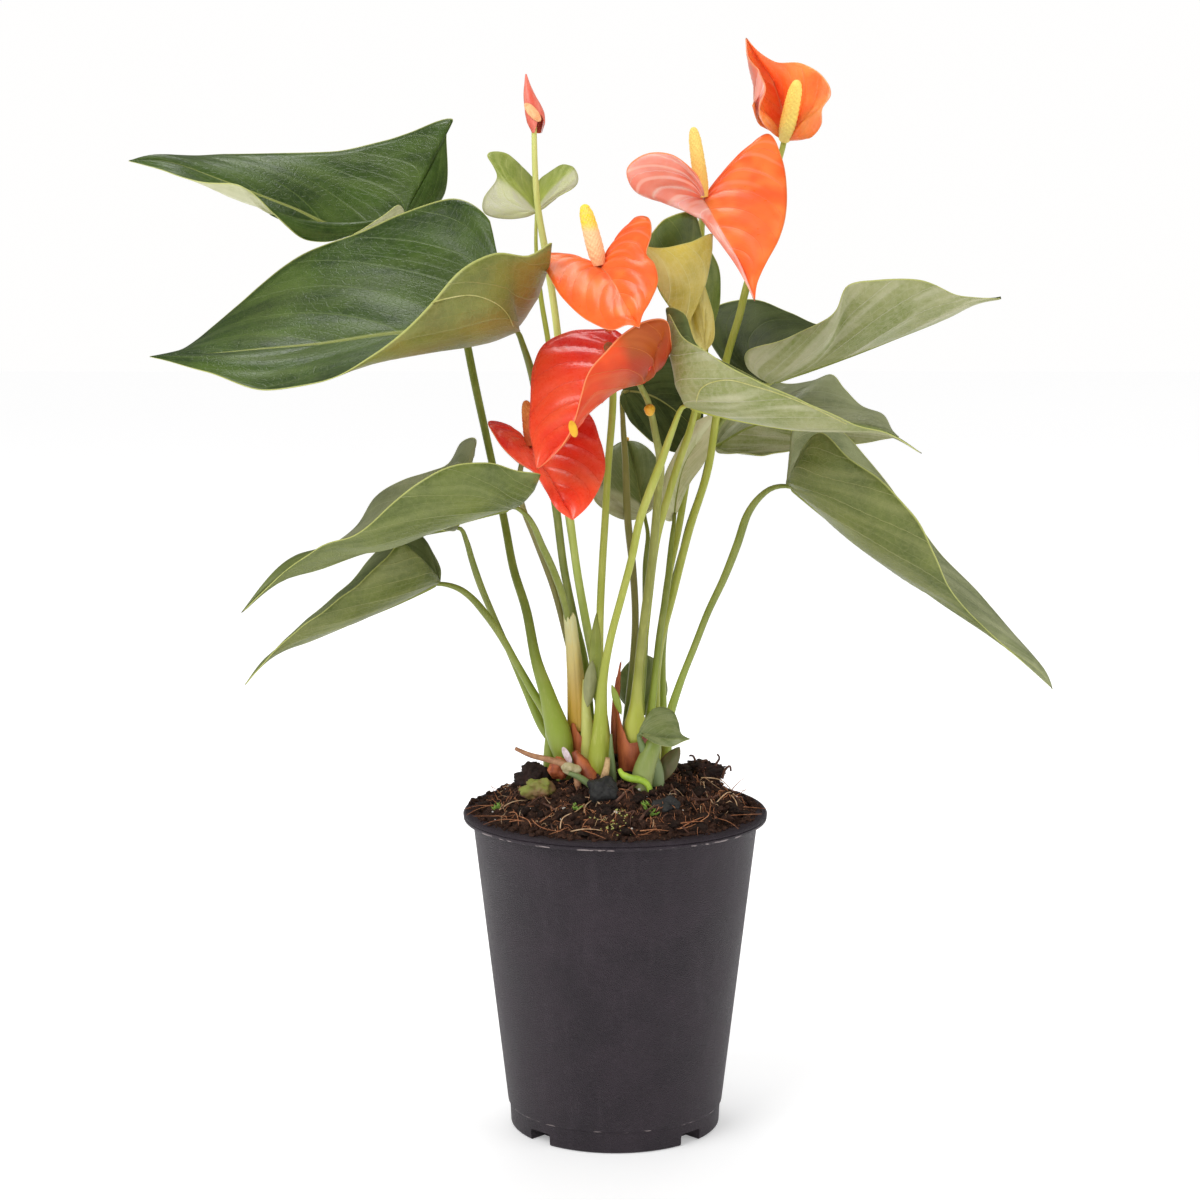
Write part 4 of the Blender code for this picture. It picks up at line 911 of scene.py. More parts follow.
def blade_look(name, light, dark, vein, roughness, margin=PALE_MARGIN, coat=0.0, vein_share=0.4,
               net_share=0.1, relief=-0.3, tint=None, tint_share=0.0, tint_scale=0.02, count=VEIN_COUNT,
               outer=None, fine=1.0, bands=0.35, stripe=None, stripe_share=0.25, coat_roughness=0.22,
               through=0.0, gloss=LEAF_GLOSS):
    """One face of a blade: clouds of two greens or reds, veins, a net of fine veins and a thin pale margin.
    The lobes, up to half way along the margin, take the outer colour if one is given. Fine is how much the
    veins between the main ones count, and bands how much the soft bands do that run along the veins. The
    stripe colour is for wide veins on the lobes. Through is how much light comes through the sheet."""
    look, tree, shader = new_material(name)
    place = place_of(tree)
    blade_map = add_node(tree, "ShaderNodeUVMap", uv_map="blade").outputs["UV"]
    drift = place_of(tree, (0.012, 0.012, 0.012))
    inputs = {"Map": blade_map, "Count": count, "Drift": drift}
    veins = add_node(tree, "ShaderNodeGroup", inputs, node_tree=vein_group).outputs
    net = add_node(tree, "ShaderNodeGroup", {"Vector": place}, node_tree=net_group).outputs["Net"]
    cloud = noise_at(tree, place, 0.05, 3.0, 0.55)
    speckle = noise_at(tree, place, 0.5, 4.0, 0.6)
    body = mixed(tree, ramp(tree, cloud, 0.32, 0.68), light, dark)
    if outer or stripe:
        along = part_of(tree, blade_map, "X")
    if outer:
        body = mixed(tree, ramp(tree, along, 0.52, 0.46), body, outer)
    if tint:
        patch = ramp(tree, noise_at(tree, place, tint_scale, 2.0), 0.45, 0.62, 0, tint_share)
        body = mixed(tree, patch, body, tint)
    body = mixed(tree, maths(tree, "MULTIPLY", veins["Bands"], bands), body, vein)
    if stripe:
        inputs = {"Map": blade_map, "Count": count * 1.5, "Width": 0.3}
        wide = add_node(tree, "ShaderNodeGroup", inputs, node_tree=vein_group).outputs["Veins"]
        on_lobe = ramp(tree, along, 0.54, 0.4, 0, stripe_share)
        body = mixed(tree, maths(tree, "MULTIPLY", on_lobe, wide), body, stripe)
    body = mixed(tree, ramp(tree, speckle, 0.35, 0.75, 0, 0.22 * fine), body, vein)
    lines = (
        (net, net_share * fine, vein), (veins["Side veins"], 0.45 * vein_share * fine, vein),
        (veins["Veins"], vein_share, vein), (veins["Rib"], 0.55, margin), (veins["Margin"], 0.85, margin),
    )
    for mask, share, colour in lines:
        body = mixed(tree, maths(tree, "MULTIPLY", mask, share), body, colour)
    shader.inputs["Specular IOR Level"].default_value = gloss
    shader.inputs["Coat Weight"].default_value = coat
    shader.inputs["Coat Roughness"].default_value = coat_roughness
    shader.inputs["Subsurface Weight"].default_value = through
    shader.inputs["Subsurface Radius"].default_value = GLOW_REACH
    shader.inputs["Subsurface Scale"].default_value = GLOW_DEPTH
    height = maths(tree, "MULTIPLY", speckle, 0.35 * fine)
    for mask, rise in ((net, 0.35 * fine), (veins["Side veins"], 0.5 * fine), (veins["Veins"], 0.9)):
        height = maths(tree, "MULTIPLY_ADD", mask, rise, height)
    rough = ramp(tree, speckle, 0.25, 0.8, roughness - 0.05, roughness + 0.07)
    set_surface(tree, shader, body, rough, abs(relief), 0.0004, height, inward=relief < 0)
    return look


def stem_look(name, colour, low, streak_and_sheen, low_height=190.0, roughness=0.42):
    """A fleshy stem: pale streaks along it, part striping and part painted sheen, and another colour towards
    its foot.
    """
    look, tree, shader = new_material(name)
    place = place_of(tree)
    streaks = noise_at(tree, place_of(tree, (1, 1, 0.06)), 1.1, 4.0, 0.6)
    cloud = noise_at(tree, place, 0.08, 3.0)
    body = mixed(tree, ramp(tree, part_of(tree, place, "Z"), low_height - 28, low_height + 16), low, colour)
    # Pale streaks: partly the stem's own striping, partly painted sheen along it.
    body = mixed(tree, ramp(tree, cloud, 0.4, 0.75, 0, 0.35), body, streak_and_sheen)
    body = mixed(tree, ramp(tree, streaks, 0.5, 0.72, 0, 0.4), body, streak_and_sheen)
    rough = ramp(tree, streaks, 0.2, 0.8, roughness - 0.06, roughness + 0.08)
    set_surface(tree, shader, body, rough, 0.35, 0.00025, streaks)
    return look


stem_green = stem_look("stem_green", (118, 128, 46), (142, 160, 54), (164, 168, 88))
stem_bright = stem_look("stem_bright", (162, 168, 60), (160, 170, 58), (198, 198, 112))
stem_bulb = stem_look("stem_bulb", (132, 134, 52), (200, 208, 82), (180, 180, 96), 176)
stem_pale = stem_look("stem_pale", (206, 210, 116), (176, 192, 88), (222, 222, 150), 250)
stem_olive = stem_look("stem_olive", (122, 116, 54), (118, 134, 58), (148, 136, 78))
stem_grey = stem_look("stem_grey", (104, 120, 74), (110, 128, 76), (142, 152, 112))


def towards(start, end, distance):
    """The point this far from start on the way to end."""
    a, b = np.asarray(start, float), np.asarray(end, float)
    return a + (b - a) * distance / np.linalg.norm(b - a)


def stem(name, keys, radii, base, look, node=None, keel=None, straight=STEM_STRAIGHT, rings=64,
         swell=(), slim=SLIM):
    """A stem from its top down to its foot in the peat, with the keel of its blade before it. Above the
    crown it is slimmer by a factor. It may swell round some heights, each given with its spread and the
    growth of the radius."""
    route = [*keys, (*base, straight), (*base, STEM_FOOT)]
    shares = np.linspace(0, 1, rings)
    centres = through(route, shares)
    widths = smoothed(np.interp(shares, np.linspace(0, 1, len(radii)), radii), 2)
    widths = widths * np.interp(centres[:, 2], SLIM_HEIGHTS, (1.0, slim))
    for height, spread, growth in swell:
        widths = widths + growth * np.exp(-(((centres[:, 2] - height) / spread) ** 2))
    if keel is not None:
        ribs, up, along = keel
        chosen = np.nonzero((along > 0.03) & (along < 0.9))[0][::-2]
        tapers = [radii[0], 0.75 * radii[0], 0.42 * radii[0], 0.12]
        thin = np.interp(along[chosen], [0, 0.15, 0.5, 0.9], tapers) * slim
        under = ribs[chosen] - up[chosen] * (0.15 + 0.55 * thin)[:, None]
        centres = np.concatenate([under, centres])
        widths = np.concatenate([thin, widths])
    item = tube(name, centres, widths)
    item.data.materials.append(look)
    on_plant(item, node)


def leaf(name, join, rib, tip, left, right, petiole, radii, base, faces, stalk, lobes=LOBE_SHARE, depth=0.3,
         waver=1.2, rib_depth=0.5, stalk_start=2.5, turned_half=0, swell=(), ease=0):
    """A blade and its petiole, in place of one node. Left and right are the margins from the join to the
    tip, and the petiole runs from the join down to its base in the peat."""
    sheet, keel = blade(
        name + "_blade", join, rib, tip, left, right, lobes, depth, rib_depth, LEAF_SHEET, waver, faces,
        turned_half=turned_half, ease=ease,
    )
    on_plant(sheet, name)
    route = [towards(join, rib[0], stalk_start), *petiole]
    stem(name + "_petiole", route, [radii[0] * 0.6, *radii], base, stalk, node=name, keel=keel, swell=swell)


# Finishes that several leaves share. Old leaves are deep green and waxy above, grey-green and dull below,
# and the young ones are yellower. The margin is a fine pale line.
top_deep = blade_look(
    "leaf_top_deep", (62, 86, 24), (38, 58, 16), (92, 112, 48), 0.33, coat=0.2, vein_share=0.5,
    relief=-0.45,
)
top_dark = blade_look(
    "leaf_top_dark", (62, 72, 32), (42, 52, 22), (86, 98, 52), 0.46, gloss=0.16, vein_share=0.35,
    net_share=0.08,
)
top_mid = blade_look("leaf_top_mid", (100, 112, 54), (78, 92, 42), (130, 140, 82), 0.4, coat=0.1)
top_grey = blade_look(
    "leaf_top_grey", (142, 148, 104), (112, 120, 80), (172, 174, 136), 0.36, coat=0.2,
    net_share=0.08, relief=-0.4,
)
under_grey = blade_look(
    "leaf_under_grey", (152, 154, 102), (122, 132, 66), (198, 194, 164), 0.44, relief=0.5,
    bands=0.5,
)
under_deep = blade_look(
    "leaf_under_deep", (96, 108, 42), (70, 84, 28), (142, 148, 90), 0.42, vein_share=0.6,
    relief=0.5,
)
under_green = blade_look(
    "leaf_under_green", (102, 112, 46), (78, 90, 32), (146, 148, 92), 0.46, vein_share=0.6,
    net_share=0.12, relief=0.45,
)
under_olive = blade_look(
    "leaf_under_olive", (124, 128, 56), (100, 106, 46), (152, 150, 88), 0.42, net_share=0.14,
    relief=0.45, tint=(150, 100, 40), tint_share=0.45, tint_scale=0.024,
)
top_round = blade_look(
    "leaf_top_round", (106, 116, 56), (86, 98, 46), (136, 142, 86), 0.4, coat=0.2, relief=-0.3,
    outer=(182, 180, 144),
)
top_soft = blade_look(
    "leaf_top_soft", (112, 124, 72), (90, 104, 54), (148, 154, 108), 0.44, coat=0.1,
)
young_yellow = blade_look(
    "leaf_young_yellow", (208, 184, 78), (172, 156, 66), (222, 212, 144), 0.38, coat=0.15,
    vein_share=0.35, net_share=0.12, relief=0.4, tint=(162, 108, 42), tint_share=0.6, tint_scale=0.022,
)
young_top = blade_look(
    "leaf_young_top", (112, 128, 48), (78, 98, 34), (140, 150, 76), 0.4, coat=0.2,
    vein_share=0.35,
)
young_pale = blade_look(
    "leaf_young_pale", (200, 200, 158), (172, 178, 122), (220, 218, 186), 0.5, net_share=0.12,
    relief=0.35,
)
young_wings = blade_look(
    "leaf_young_wings", (160, 170, 72), (124, 140, 48), (184, 190, 112), 0.45, coat=0.1,
    vein_share=0.35, relief=-0.3, outer=(178, 176, 146),
)

# The large leaf at the upper left, spread away behind the biggest one. It is old, deep green and glossy.
# Its near margin curls up, so the pale underside shows there.
leaf(
    "leaf_back_left", join=(-85, 58, 359), tip=(-193, 40, 380), base=(-20, -6), faces=(top_deep, young_pale),
    stalk=stem_green, swell=[(159, 8, 0.8), (144, 6, -1.6)], depth=0.6, waver=1.6,
    rib=[(-107, 55, 353), (-130, 50, 362), (-158, 46, 373), (-179, 42, 380)],
    left=[
        (-87, 54, 363, 0), (-94, 50, 358, 0), (-108, 46, 350, 0), (-123, 37, 349, -1), (-135, 28, 360, -5),
        (-146, 25, 370, -6), (-161, 29, 371, -3), (-178, 35, 376),
    ],
    right=[
        (-77, 64, 360), (-70, 72, 367), (-69, 84, 392), (-67, 88, 399), (-85, 88, 393), (-109, 84, 386),
        (-141, 74, 384), (-171, 58, 383), (-185, 46, 382),
    ],
    petiole=[
        (-85, 57, 358), (-75, 56, 349), (-64, 46, 329), (-60, 42, 311), (-56, 36, 292), (-51, 30, 270),
        (-44, 20, 239), (-40, 12, 220), (-35, 6, 205), (-31, 0, 186), (-26, -4, 171),
    ],
    radii=[1.9, 2.0, 2.1, 2.1, 2.0, 2.0, 2.1, 2.3, 2.6, 3.6, 4.6, 4.4],
)

# The biggest leaf, spread to the left. Its far half lies open and glossy, and the near lobe rolls up
# over it and shows an olive underside with an orange flush.
leaf(
    "leaf_big_left", join=(-38, -8, 316), tip=(-177, -14, 305),
    radii=[2.0, 2.3, 2.2, 2.1, 2.1, 2.1, 2.1, 2.2, 2.4, 2.8], base=(-10, 9), faces=(top_deep, under_olive),
    stalk=stem_green, depth=0.75, waver=1.4,
    rib=[(-59, -12, 315), (-82, -15, 314), (-112, -17, 310), (-135, -18, 308), (-158, -16, 306)],
    left=[
        (-36, -18, 326, 0), (-28, -32, 343, -2), (-24, -40, 348, -3), (-32, -48, 343, -5),
        (-44, -56, 344, -10), (-55, -60, 339, -14), (-67, -62, 326, -13), (-78, -62, 316, -9),
        (-89, -60, 307, -5), (-104, -56, 299, 0), (-129, -46, 294), (-153, -32, 300), (-166, -22, 303),
    ],
    right=[
        (-41, 0, 332), (-43, 8, 345), (-52, 20, 360), (-64, 30, 365), (-85, 37, 359), (-107, 38, 350),
        (-125, 36, 343), (-140, 28, 331), (-156, 12, 316), (-167, -4, 307),
    ],
    petiole=[
        (-38, -8, 315), (-35, -9, 308), (-32, -8, 298), (-29, -5, 282), (-26, -2, 265), (-23, 1, 245),
        (-20, 4, 221), (-16, 6, 201), (-12, 8, 183),
    ],
)

# The small young leaf behind the bud's stalk. Its two halves still stand up like wings.
leaf(
    "leaf_small_back", join=(-31, 26, 360), rib=[(-32, 42, 362), (-32, 60, 367)], tip=(-32, 74, 372),
    radii=[1.1, 1.4, 1.4, 1.5, 1.5, 1.6, 1.6, 1.7, 1.9, 2.2], base=(-3, 12), faces=(young_wings, young_pale),
    stalk=stem_bright, depth=0.25, waver=0.6,
    left=[
        (-34, 24, 358), (-42, 24, 357), (-51, 26, 359), (-52, 34, 365), (-47, 44, 374), (-51, 50, 383),
        (-43, 60, 383), (-36, 70, 376),
    ],
    right=[(-28, 28, 362), (-22, 30, 366), (-15, 36, 371), (-16, 46, 377), (-21, 58, 379), (-27, 68, 376)],
    petiole=[
        (-31, 25, 359), (-31, 22, 345), (-29, 18, 326), (-26, 14, 308), (-24, 11, 287), (-22, 11, 267),
        (-19, 12, 244), (-16, 12, 224), (-12, 12, 200), (-8, 12, 182),
    ],
)

# The lowest leaf on the left, folded along its midrib and hanging to a thin drip tip.
leaf(
    "leaf_low_left", join=(-68, -8, 218), tip=(-139, -44, 184),
    radii=[1.6, 1.9, 1.9, 1.8, 1.8, 1.9, 2.1, 2.5, 2.8], base=(-26, 2), faces=(top_soft, under_green),
    stalk=stem_green, depth=0.35,
    rib=[(-83, -13, 211), (-98, -18, 205), (-116, -26, 198), (-131, -36, 193)],
    left=[
        (-71, -14, 223, -1), (-77, -22, 230, -2), (-81, -30, 236, -3), (-87, -34, 230, -5),
        (-96, -36, 222, -5), (-111, -38, 210, -4), (-124, -40, 200, -1),
    ],
    right=[
        (-68, -2, 222), (-72, 8, 228), (-78, 18, 234), (-87, 26, 234), (-95, 24, 226), (-105, 14, 215),
        (-116, -2, 206), (-128, -24, 196),
    ],
    petiole=[
        (-67, -7, 217), (-61, -5, 215), (-56, -3, 211), (-51, -2, 205), (-45, 0, 196), (-39, 1, 185),
        (-33, 2, 174), (-26, 2, 161),
    ],
)

# The long folded leaf at the front left, with its underside to the viewer.
leaf(
    "leaf_front_left", join=(-38, -38, 250), tip=(-137, -64, 214),
    radii=[1.5, 1.9, 1.9, 1.7, 1.7, 1.8, 2.1, 2.5, 2.8], base=(-14, 1), faces=(top_mid, under_deep),
    stalk=stem_green, depth=0.6,
    rib=[
        (-51, -42, 247), (-65, -45, 243), (-80, -48, 238), (-95, -51, 234), (-109, -54, 229),
        (-123, -58, 225),
    ],
    left=[
        (-37, -42, 254, 0), (-34, -48, 260, -1), (-28, -54, 264, -2), (-37, -62, 266, -4),
        (-47, -68, 269, -6), (-58, -72, 269, -7), (-69, -74, 264, -7), (-82, -72, 254, -6),
        (-95, -69, 243, -4), (-108, -66, 238, -2), (-121, -62, 229, 0),
    ],
    right=[
        (-40, -30, 253), (-42, -20, 257), (-48, -10, 258), (-60, -4, 257), (-72, -6, 253), (-85, -14, 246),
        (-97, -26, 239), (-109, -38, 235), (-119, -48, 233), (-125, -55, 229),
    ],
    petiole=[
        (-38, -37, 250), (-34, -34, 247), (-31, -30, 242), (-28, -25, 234), (-24, -18, 224), (-20, -10, 211),
        (-17, -5, 195), (-15, -1, 178),
    ],
)

# The leaf behind the front left one. Only its far half and a lobe stand clear of it.
leaf(
    "leaf_mid_left", join=(-61, -4, 239), tip=(-129, -26, 225),
    radii=[1.5, 1.8, 1.7, 1.6, 1.7, 1.8, 2.0, 2.3, 2.6], base=(-22, 9), faces=(top_grey, under_green),
    stalk=stem_green, depth=0.35,
    rib=[(-72, -6, 237), (-87, -10, 234), (-106, -16, 231), (-118, -22, 228)],
    left=[
        (-62, -10, 238), (-65, -18, 239), (-71, -22, 240), (-82, -26, 239), (-97, -28, 234), (-112, -28, 229),
    ],
    right=[
        (-60, 6, 246), (-57, 14, 261), (-55, 22, 271), (-61, 28, 269), (-67, 31, 260), (-74, 32, 257),
        (-85, 33, 254), (-96, 30, 247), (-103, 18, 236), (-113, 2, 230), (-123, -14, 227),
    ],
    petiole=[
        (-60, -3, 238), (-58, 0, 233), (-56, 3, 225), (-53, 6, 215), (-48, 9, 202), (-42, 10, 188),
        (-36, 10, 174), (-29, 10, 158),
    ],
)

# The young yellow-green leaf that stands upright behind the middle bloom, curled on itself.
leaf(
    "leaf_upright", join=(34, -12, 307), tip=(9, -34, 347),
    radii=[1.5, 1.9, 1.9, 1.9, 1.9, 1.9, 2.0, 2.2, 2.6], base=(7, 3), faces=(young_top, young_yellow),
    stalk=stem_bright, swell=[(165, 7, 1.2)], depth=0.3, waver=0.6,
    rib=[(28, -18, 312), (21, -24, 323), (16, -28, 331), (13, -31, 340)],
    left=[
        (37, -14, 311, 0), (37, -17, 320, -1), (34, -20, 330, -3), (31, -22, 341, -4), (36, -22, 351, -4),
        (27, -28, 348, -3), (17, -32, 346, -1),
    ],
    right=[
        (36, -6, 313, 0), (40, -3, 326, -1), (39, -5, 339, -2), (33, -9, 350, -3), (29, -14, 359, -3),
        (19, -20, 357, -2), (13, -29, 351, -1),
    ],
    petiole=[
        (34, -11, 306), (33, -8, 297), (29, -6, 278), (25, -5, 266), (21, -4, 253), (16, -2, 234),
        (13, 0, 210), (11, 1, 190),
    ],
)

# The leaf in front on the right, folded into a trough that points to the right.
leaf(
    "leaf_front_right", join=(26, -42, 288), tip=(111, -60, 272), base=(-6, -13), faces=(top_mid, under_grey),
    stalk=stem_bright, swell=[(150, 8, 1.0), (142, 5, -1.2)], depth=0.6,
    rib=[(38, -46, 285), (53, -48, 282), (67, -50, 280), (86, -52, 280), (100, -56, 278)],
    left=[
        (25, -34, 294), (23, -28, 310), (19, -34, 324), (25, -36, 322), (30, -34, 310), (42, -32, 303),
        (61, -32, 293), (83, -40, 283), (100, -53, 278),
    ],
    right=[
        (24, -44, 295, 0), (22, -45, 308, -1), (19, -47, 322, -2), (24, -56, 314, -4), (32, -64, 309, -6),
        (46, -70, 301, -6), (66, -70, 292, -4), (84, -66, 284, -2), (99, -61, 279, 0),
    ],
    petiole=[
        (25, -41, 288), (21, -38, 279), (17, -34, 267), (13, -31, 256), (9, -28, 244), (6, -25, 229),
        (2, -21, 213), (-2, -17, 197), (-5, -14, 179),
    ],
    radii=[1.6, 2.2, 2.1, 1.9, 1.9, 1.9, 2.0, 2.3, 3.0, 4.3, 4.0],
)

# The large leaf at the right. Its near half is seen from below, with the dark far half behind it.
leaf(
    "leaf_far_right", join=(60, 8, 294), tip=(147, -6, 327), base=(19, 13), faces=(top_dark, under_grey),
    stalk=stem_green, depth=0.8, ease=14,
    rib=[(75, 5, 299), (94, 2, 306), (109, 0, 312), (126, -3, 319), (137, -5, 325)],
    left=[
        (51, 16, 295), (43, 32, 301), (37, 46, 313), (41, 54, 322), (55, 57, 325), (71, 52, 320),
        (83, 46, 315), (95, 38, 321), (108, 28, 329), (123, 16, 330), (136, 2, 326),
    ],
    right=[
        (56, 4, 296, 0), (51, 0, 300, -1), (50, -6, 306, -3), (61, -12, 311, -5), (75, -18, 317, -6),
        (83, -22, 323, -7), (87, -24, 332, -7), (97, -25, 334, -6), (114, -23, 334, -4), (131, -14, 328, -2),
    ],
    petiole=[
        (59, 9, 293), (53, 12, 288), (45, 15, 282), (40, 18, 276), (38, 20, 267), (35, 22, 253),
        (29, 22, 235), (25, 21, 217), (21, 20, 202), (19, 18, 189),
    ],
    radii=[1.6, 1.9, 1.9, 1.8, 1.8, 1.8, 1.8, 1.9, 2.0, 2.1, 2.4],
)

# The leaf on the right under the front one, dark above and pale on its near half.
leaf(
    "leaf_mid_right", join=(40, 31, 267), rib=[(56, 31, 276), (76, 29, 277), (97, 25, 274)],
    tip=(112, 20, 272), radii=[1.4, 1.6, 1.7, 1.7, 1.7, 1.8, 1.9, 2.2], base=(14, 21),
    faces=(top_grey, under_grey), stalk=stem_green, depth=0.35, turned_half=1,
    left=[
        (37, 37, 273), (39, 47, 284), (47, 54, 293), (57, 58, 294), (70, 58, 291), (80, 56, 292),
        (88, 54, 295), (93, 48, 289), (99, 42, 283), (107, 34, 280), (110, 25, 274),
    ],
    right=[
        (41, 29, 265), (50, 25, 265, -2), (61, 22, 265, -2), (73, 21, 267, -2), (87, 20, 268, -2),
        (101, 20, 270),
    ],
    petiole=[
        (39, 31, 267), (37, 30, 258), (34, 30, 246), (29, 30, 232), (25, 29, 218), (21, 27, 204),
        (18, 24, 188),
    ],
)

# The narrow young leaf that stands nearly upright among the stems.
leaf(
    "leaf_narrow", join=(23, 9, 240), rib=[(24, 10, 250), (27, 11, 262), (34, 12, 273)], tip=(41, 13, 282),
    radii=[1.5, 1.8, 1.8, 1.8, 2.0, 2.4], base=(12, -4), faces=(young_pale, top_mid), stalk=stem_green,
    lobes=0.1, depth=0.2, waver=0.4,
    left=[(20, 10, 240), (18, 11, 246), (19, 12, 256), (24, 13, 267), (31, 13, 278)],
    right=[(25, 10, 245, 0), (29, 10, 254, 0), (35, 10, 263, 0), (39, 12, 274, 0)],
    petiole=[(23, 7, 240), (22, 4, 233), (20, 0, 214), (17, -2, 194), (15, -4, 175)],
)

# The dark leaf in the middle of the plant, behind the stems.
leaf(
    "leaf_centre", join=(3, 24, 290), rib=[(14, 27, 288), (26, 30, 280)], tip=(34, 31, 271),
    radii=[1.5, 1.9, 1.9, 1.8, 1.8, 1.9, 2.0, 2.3], base=(4, 11), faces=(top_dark, under_green),
    stalk=stem_olive, depth=0.3,
    left=[(5, 28, 295), (12, 33, 301), (21, 37, 303), (30, 37, 297), (35, 35, 285)],
    right=[(2, 21, 286), (7, 19, 277), (16, 22, 269), (25, 26, 265), (31, 29, 266)],
    petiole=[
        (3, 23, 289), (3, 20, 279), (4, 18, 263), (5, 16, 239), (7, 15, 220), (8, 14, 200), (7, 12, 182),
    ],
)

# The short round leaf behind the stems, its tip upwards.
leaf(
    "leaf_round", join=(12, 24, 241), rib=[(10, 32, 248), (8, 42, 258)], tip=(5, 52, 268),
    radii=[1.3, 1.5, 1.5, 1.5, 1.7, 2.1], base=(9, 16), faces=(top_round, under_green), stalk=stem_green,
    depth=0.3, waver=0.8,
    left=[(7, 20, 239), (-1, 17, 241), (-8, 19, 247), (-6, 30, 256), (-3, 42, 264), (1, 48, 267)],
    right=[(15, 26, 243), (17, 32, 251), (17, 42, 261), (11, 48, 267)],
    petiole=[(12, 23, 239), (13, 21, 233), (12, 20, 221), (12, 19, 207), (12, 17, 189)],
)

# The long leaf that hangs to the lower right, on the most spread petiole.
leaf(
    "leaf_low_right", join=(66, -6, 256), tip=(168, -20, 178), base=(20, -3), faces=(top_grey, under_green),
    stalk=stem_green, depth=0.7,
    rib=[
        (79, -8, 245), (94, -10, 233), (110, -12, 222), (125, -14, 211), (140, -16, 201), (153, -18, 192),
        (163, -19, 185),
    ],
    left=[
        (68, -2, 263), (68, 2, 272), (70, 6, 279), (82, 10, 279), (98, 15, 265), (114, 17, 245),
        (128, 14, 227), (143, 4, 211), (157, -7, 195), (165, -15, 185),
    ],
    right=[
        (68, -12, 262, 0), (71, -20, 271, -2), (77, -28, 277, -3), (87, -36, 269, -6), (100, -41, 259, -8),
        (111, -42, 247, -9), (119, -38, 233, -8), (126, -30, 219, -4), (135, -22, 208, -1),
        (149, -19, 195, 0),
    ],
    petiole=[
        (65, -6, 255), (60, -6, 254), (55, -6, 250), (51, -6, 244), (47, -6, 232), (42, -6, 219),
        (36, -6, 206), (31, -6, 193), (25, -5, 177), (21, -4, 163),
    ],
    radii=[1.6, 2.1, 2.1, 1.9, 1.8, 1.8, 1.8, 1.9, 2.0, 2.3, 2.6],
)

# The little leaf low at the front of the crown, on a thick grey-green stub.
leaf(
    "leaf_crown", join=(9, -22, 161), rib=[(14, -26, 161), (21, -33, 161)], tip=(28, -38, 162),
    radii=[1.0, 1.8, 3.2, 3.2], base=(15, -17), faces=(top_soft, under_grey), stalk=stem_grey,
    swell=[(149, 7, 1.4)], depth=0.15, waver=0.3, rib_depth=0.25, stalk_start=1.5,
    left=[(11, -19, 164), (14, -16, 169), (18, -15, 170), (22, -18, 169), (24, -25, 166), (25, -34, 163)],
    right=[(12, -28, 160), (16, -34, 159), (21, -38, 159), (25, -39, 161)],
    petiole=[(9, -21, 160), (11, -20, 154)],
)

# The little leaf behind the thick sheath in the crown.
leaf(
    "leaf_crown_back", join=(10, 29, 158), rib=[(10, 30, 168), (11, 32, 176)], tip=(11, 34, 183),
    radii=[1.0, 1.5, 1.6, 1.7], base=(7, 27), faces=(top_soft, top_mid), stalk=stem_grey, depth=0.15,
    waver=0.3, rib_depth=0.25, stalk_start=1.5,
    left=[(6, 29, 161), (2, 30, 166), (2, 31, 175), (7, 33, 181)],
    right=[(16, 29, 161), (21, 30, 167), (20, 31, 175), (16, 33, 181)],
    petiole=[(10, 29, 158), (9, 28, 151)],
)

# A bloom is a stalk, a waxy heart-shaped spathe round its end and a spadix that stands on it. The spathe is
# quilted by its sunk veins and shines like enamel. The spadix is a fleshy spike packed with tiny flowers,
# which run up it in two crossing sets of spirals.
SPADIX_SHAPE = [0.75, 1.0, 1.04, 1.0, 0.95, 0.85, 0.45]
SPIRALS = (8, 13)
FLOWER_RISE = 0.32
AXIS_GAP = 0.75
SPATHE_VEINS = 8.0
SPATHE_RIB = 0.35
SPATHE_SHEET = 0.5
SPATHE_WAVE = 0.6


def spadix(name, foot, top, girth, look):
    """A spike of this girth from foot to top, its surface raised into a spiral of small flowers."""
    foot, top = Vector(foot), Vector(top)
    axis = top - foot
    turn = axis.to_track_quat("Z", "Y").to_matrix()
    rings, around = 120, 78
    turns = axis.length / 9.0
    bm = bmesh.new()
    rows = []
    for i in range(rings + 1):
        share = i / rings
        shape = float(np.interp(share, np.linspace(0, 1, len(SPADIX_SHAPE)), SPADIX_SHAPE))
        cap = math.sqrt(max(0.0, 1 - max(0.0, (share - 0.94) / 0.06) ** 2))
        row = []
        for j in range(around):
            angle = 2 * math.pi * j / around
            first = SPIRALS[0] * angle / (2 * math.pi) + share * turns * 3.4
            second = SPIRALS[1] * angle / (2 * math.pi) - share * turns * 5.2
            raised = abs(math.cos(math.pi * first) * math.cos(math.pi * second)) ** 0.6
            reach = girth * shape * cap + FLOWER_RISE * (raised - 0.5) * min(1, 6 * share + 0.2) * cap
            point = turn @ Vector((reach * math.cos(angle), reach * math.sin(angle), share * axis.length))
            row.append(bm.verts.new((foot + point) * MM))
        rows.append(row)
    skinned(bm, rows)
    bm.faces.new(rows[0][::-1])
    bmesh.ops.remove_doubles(bm, verts=bm.verts, dist=WELD)
    return mesh_item(name, bm, look)


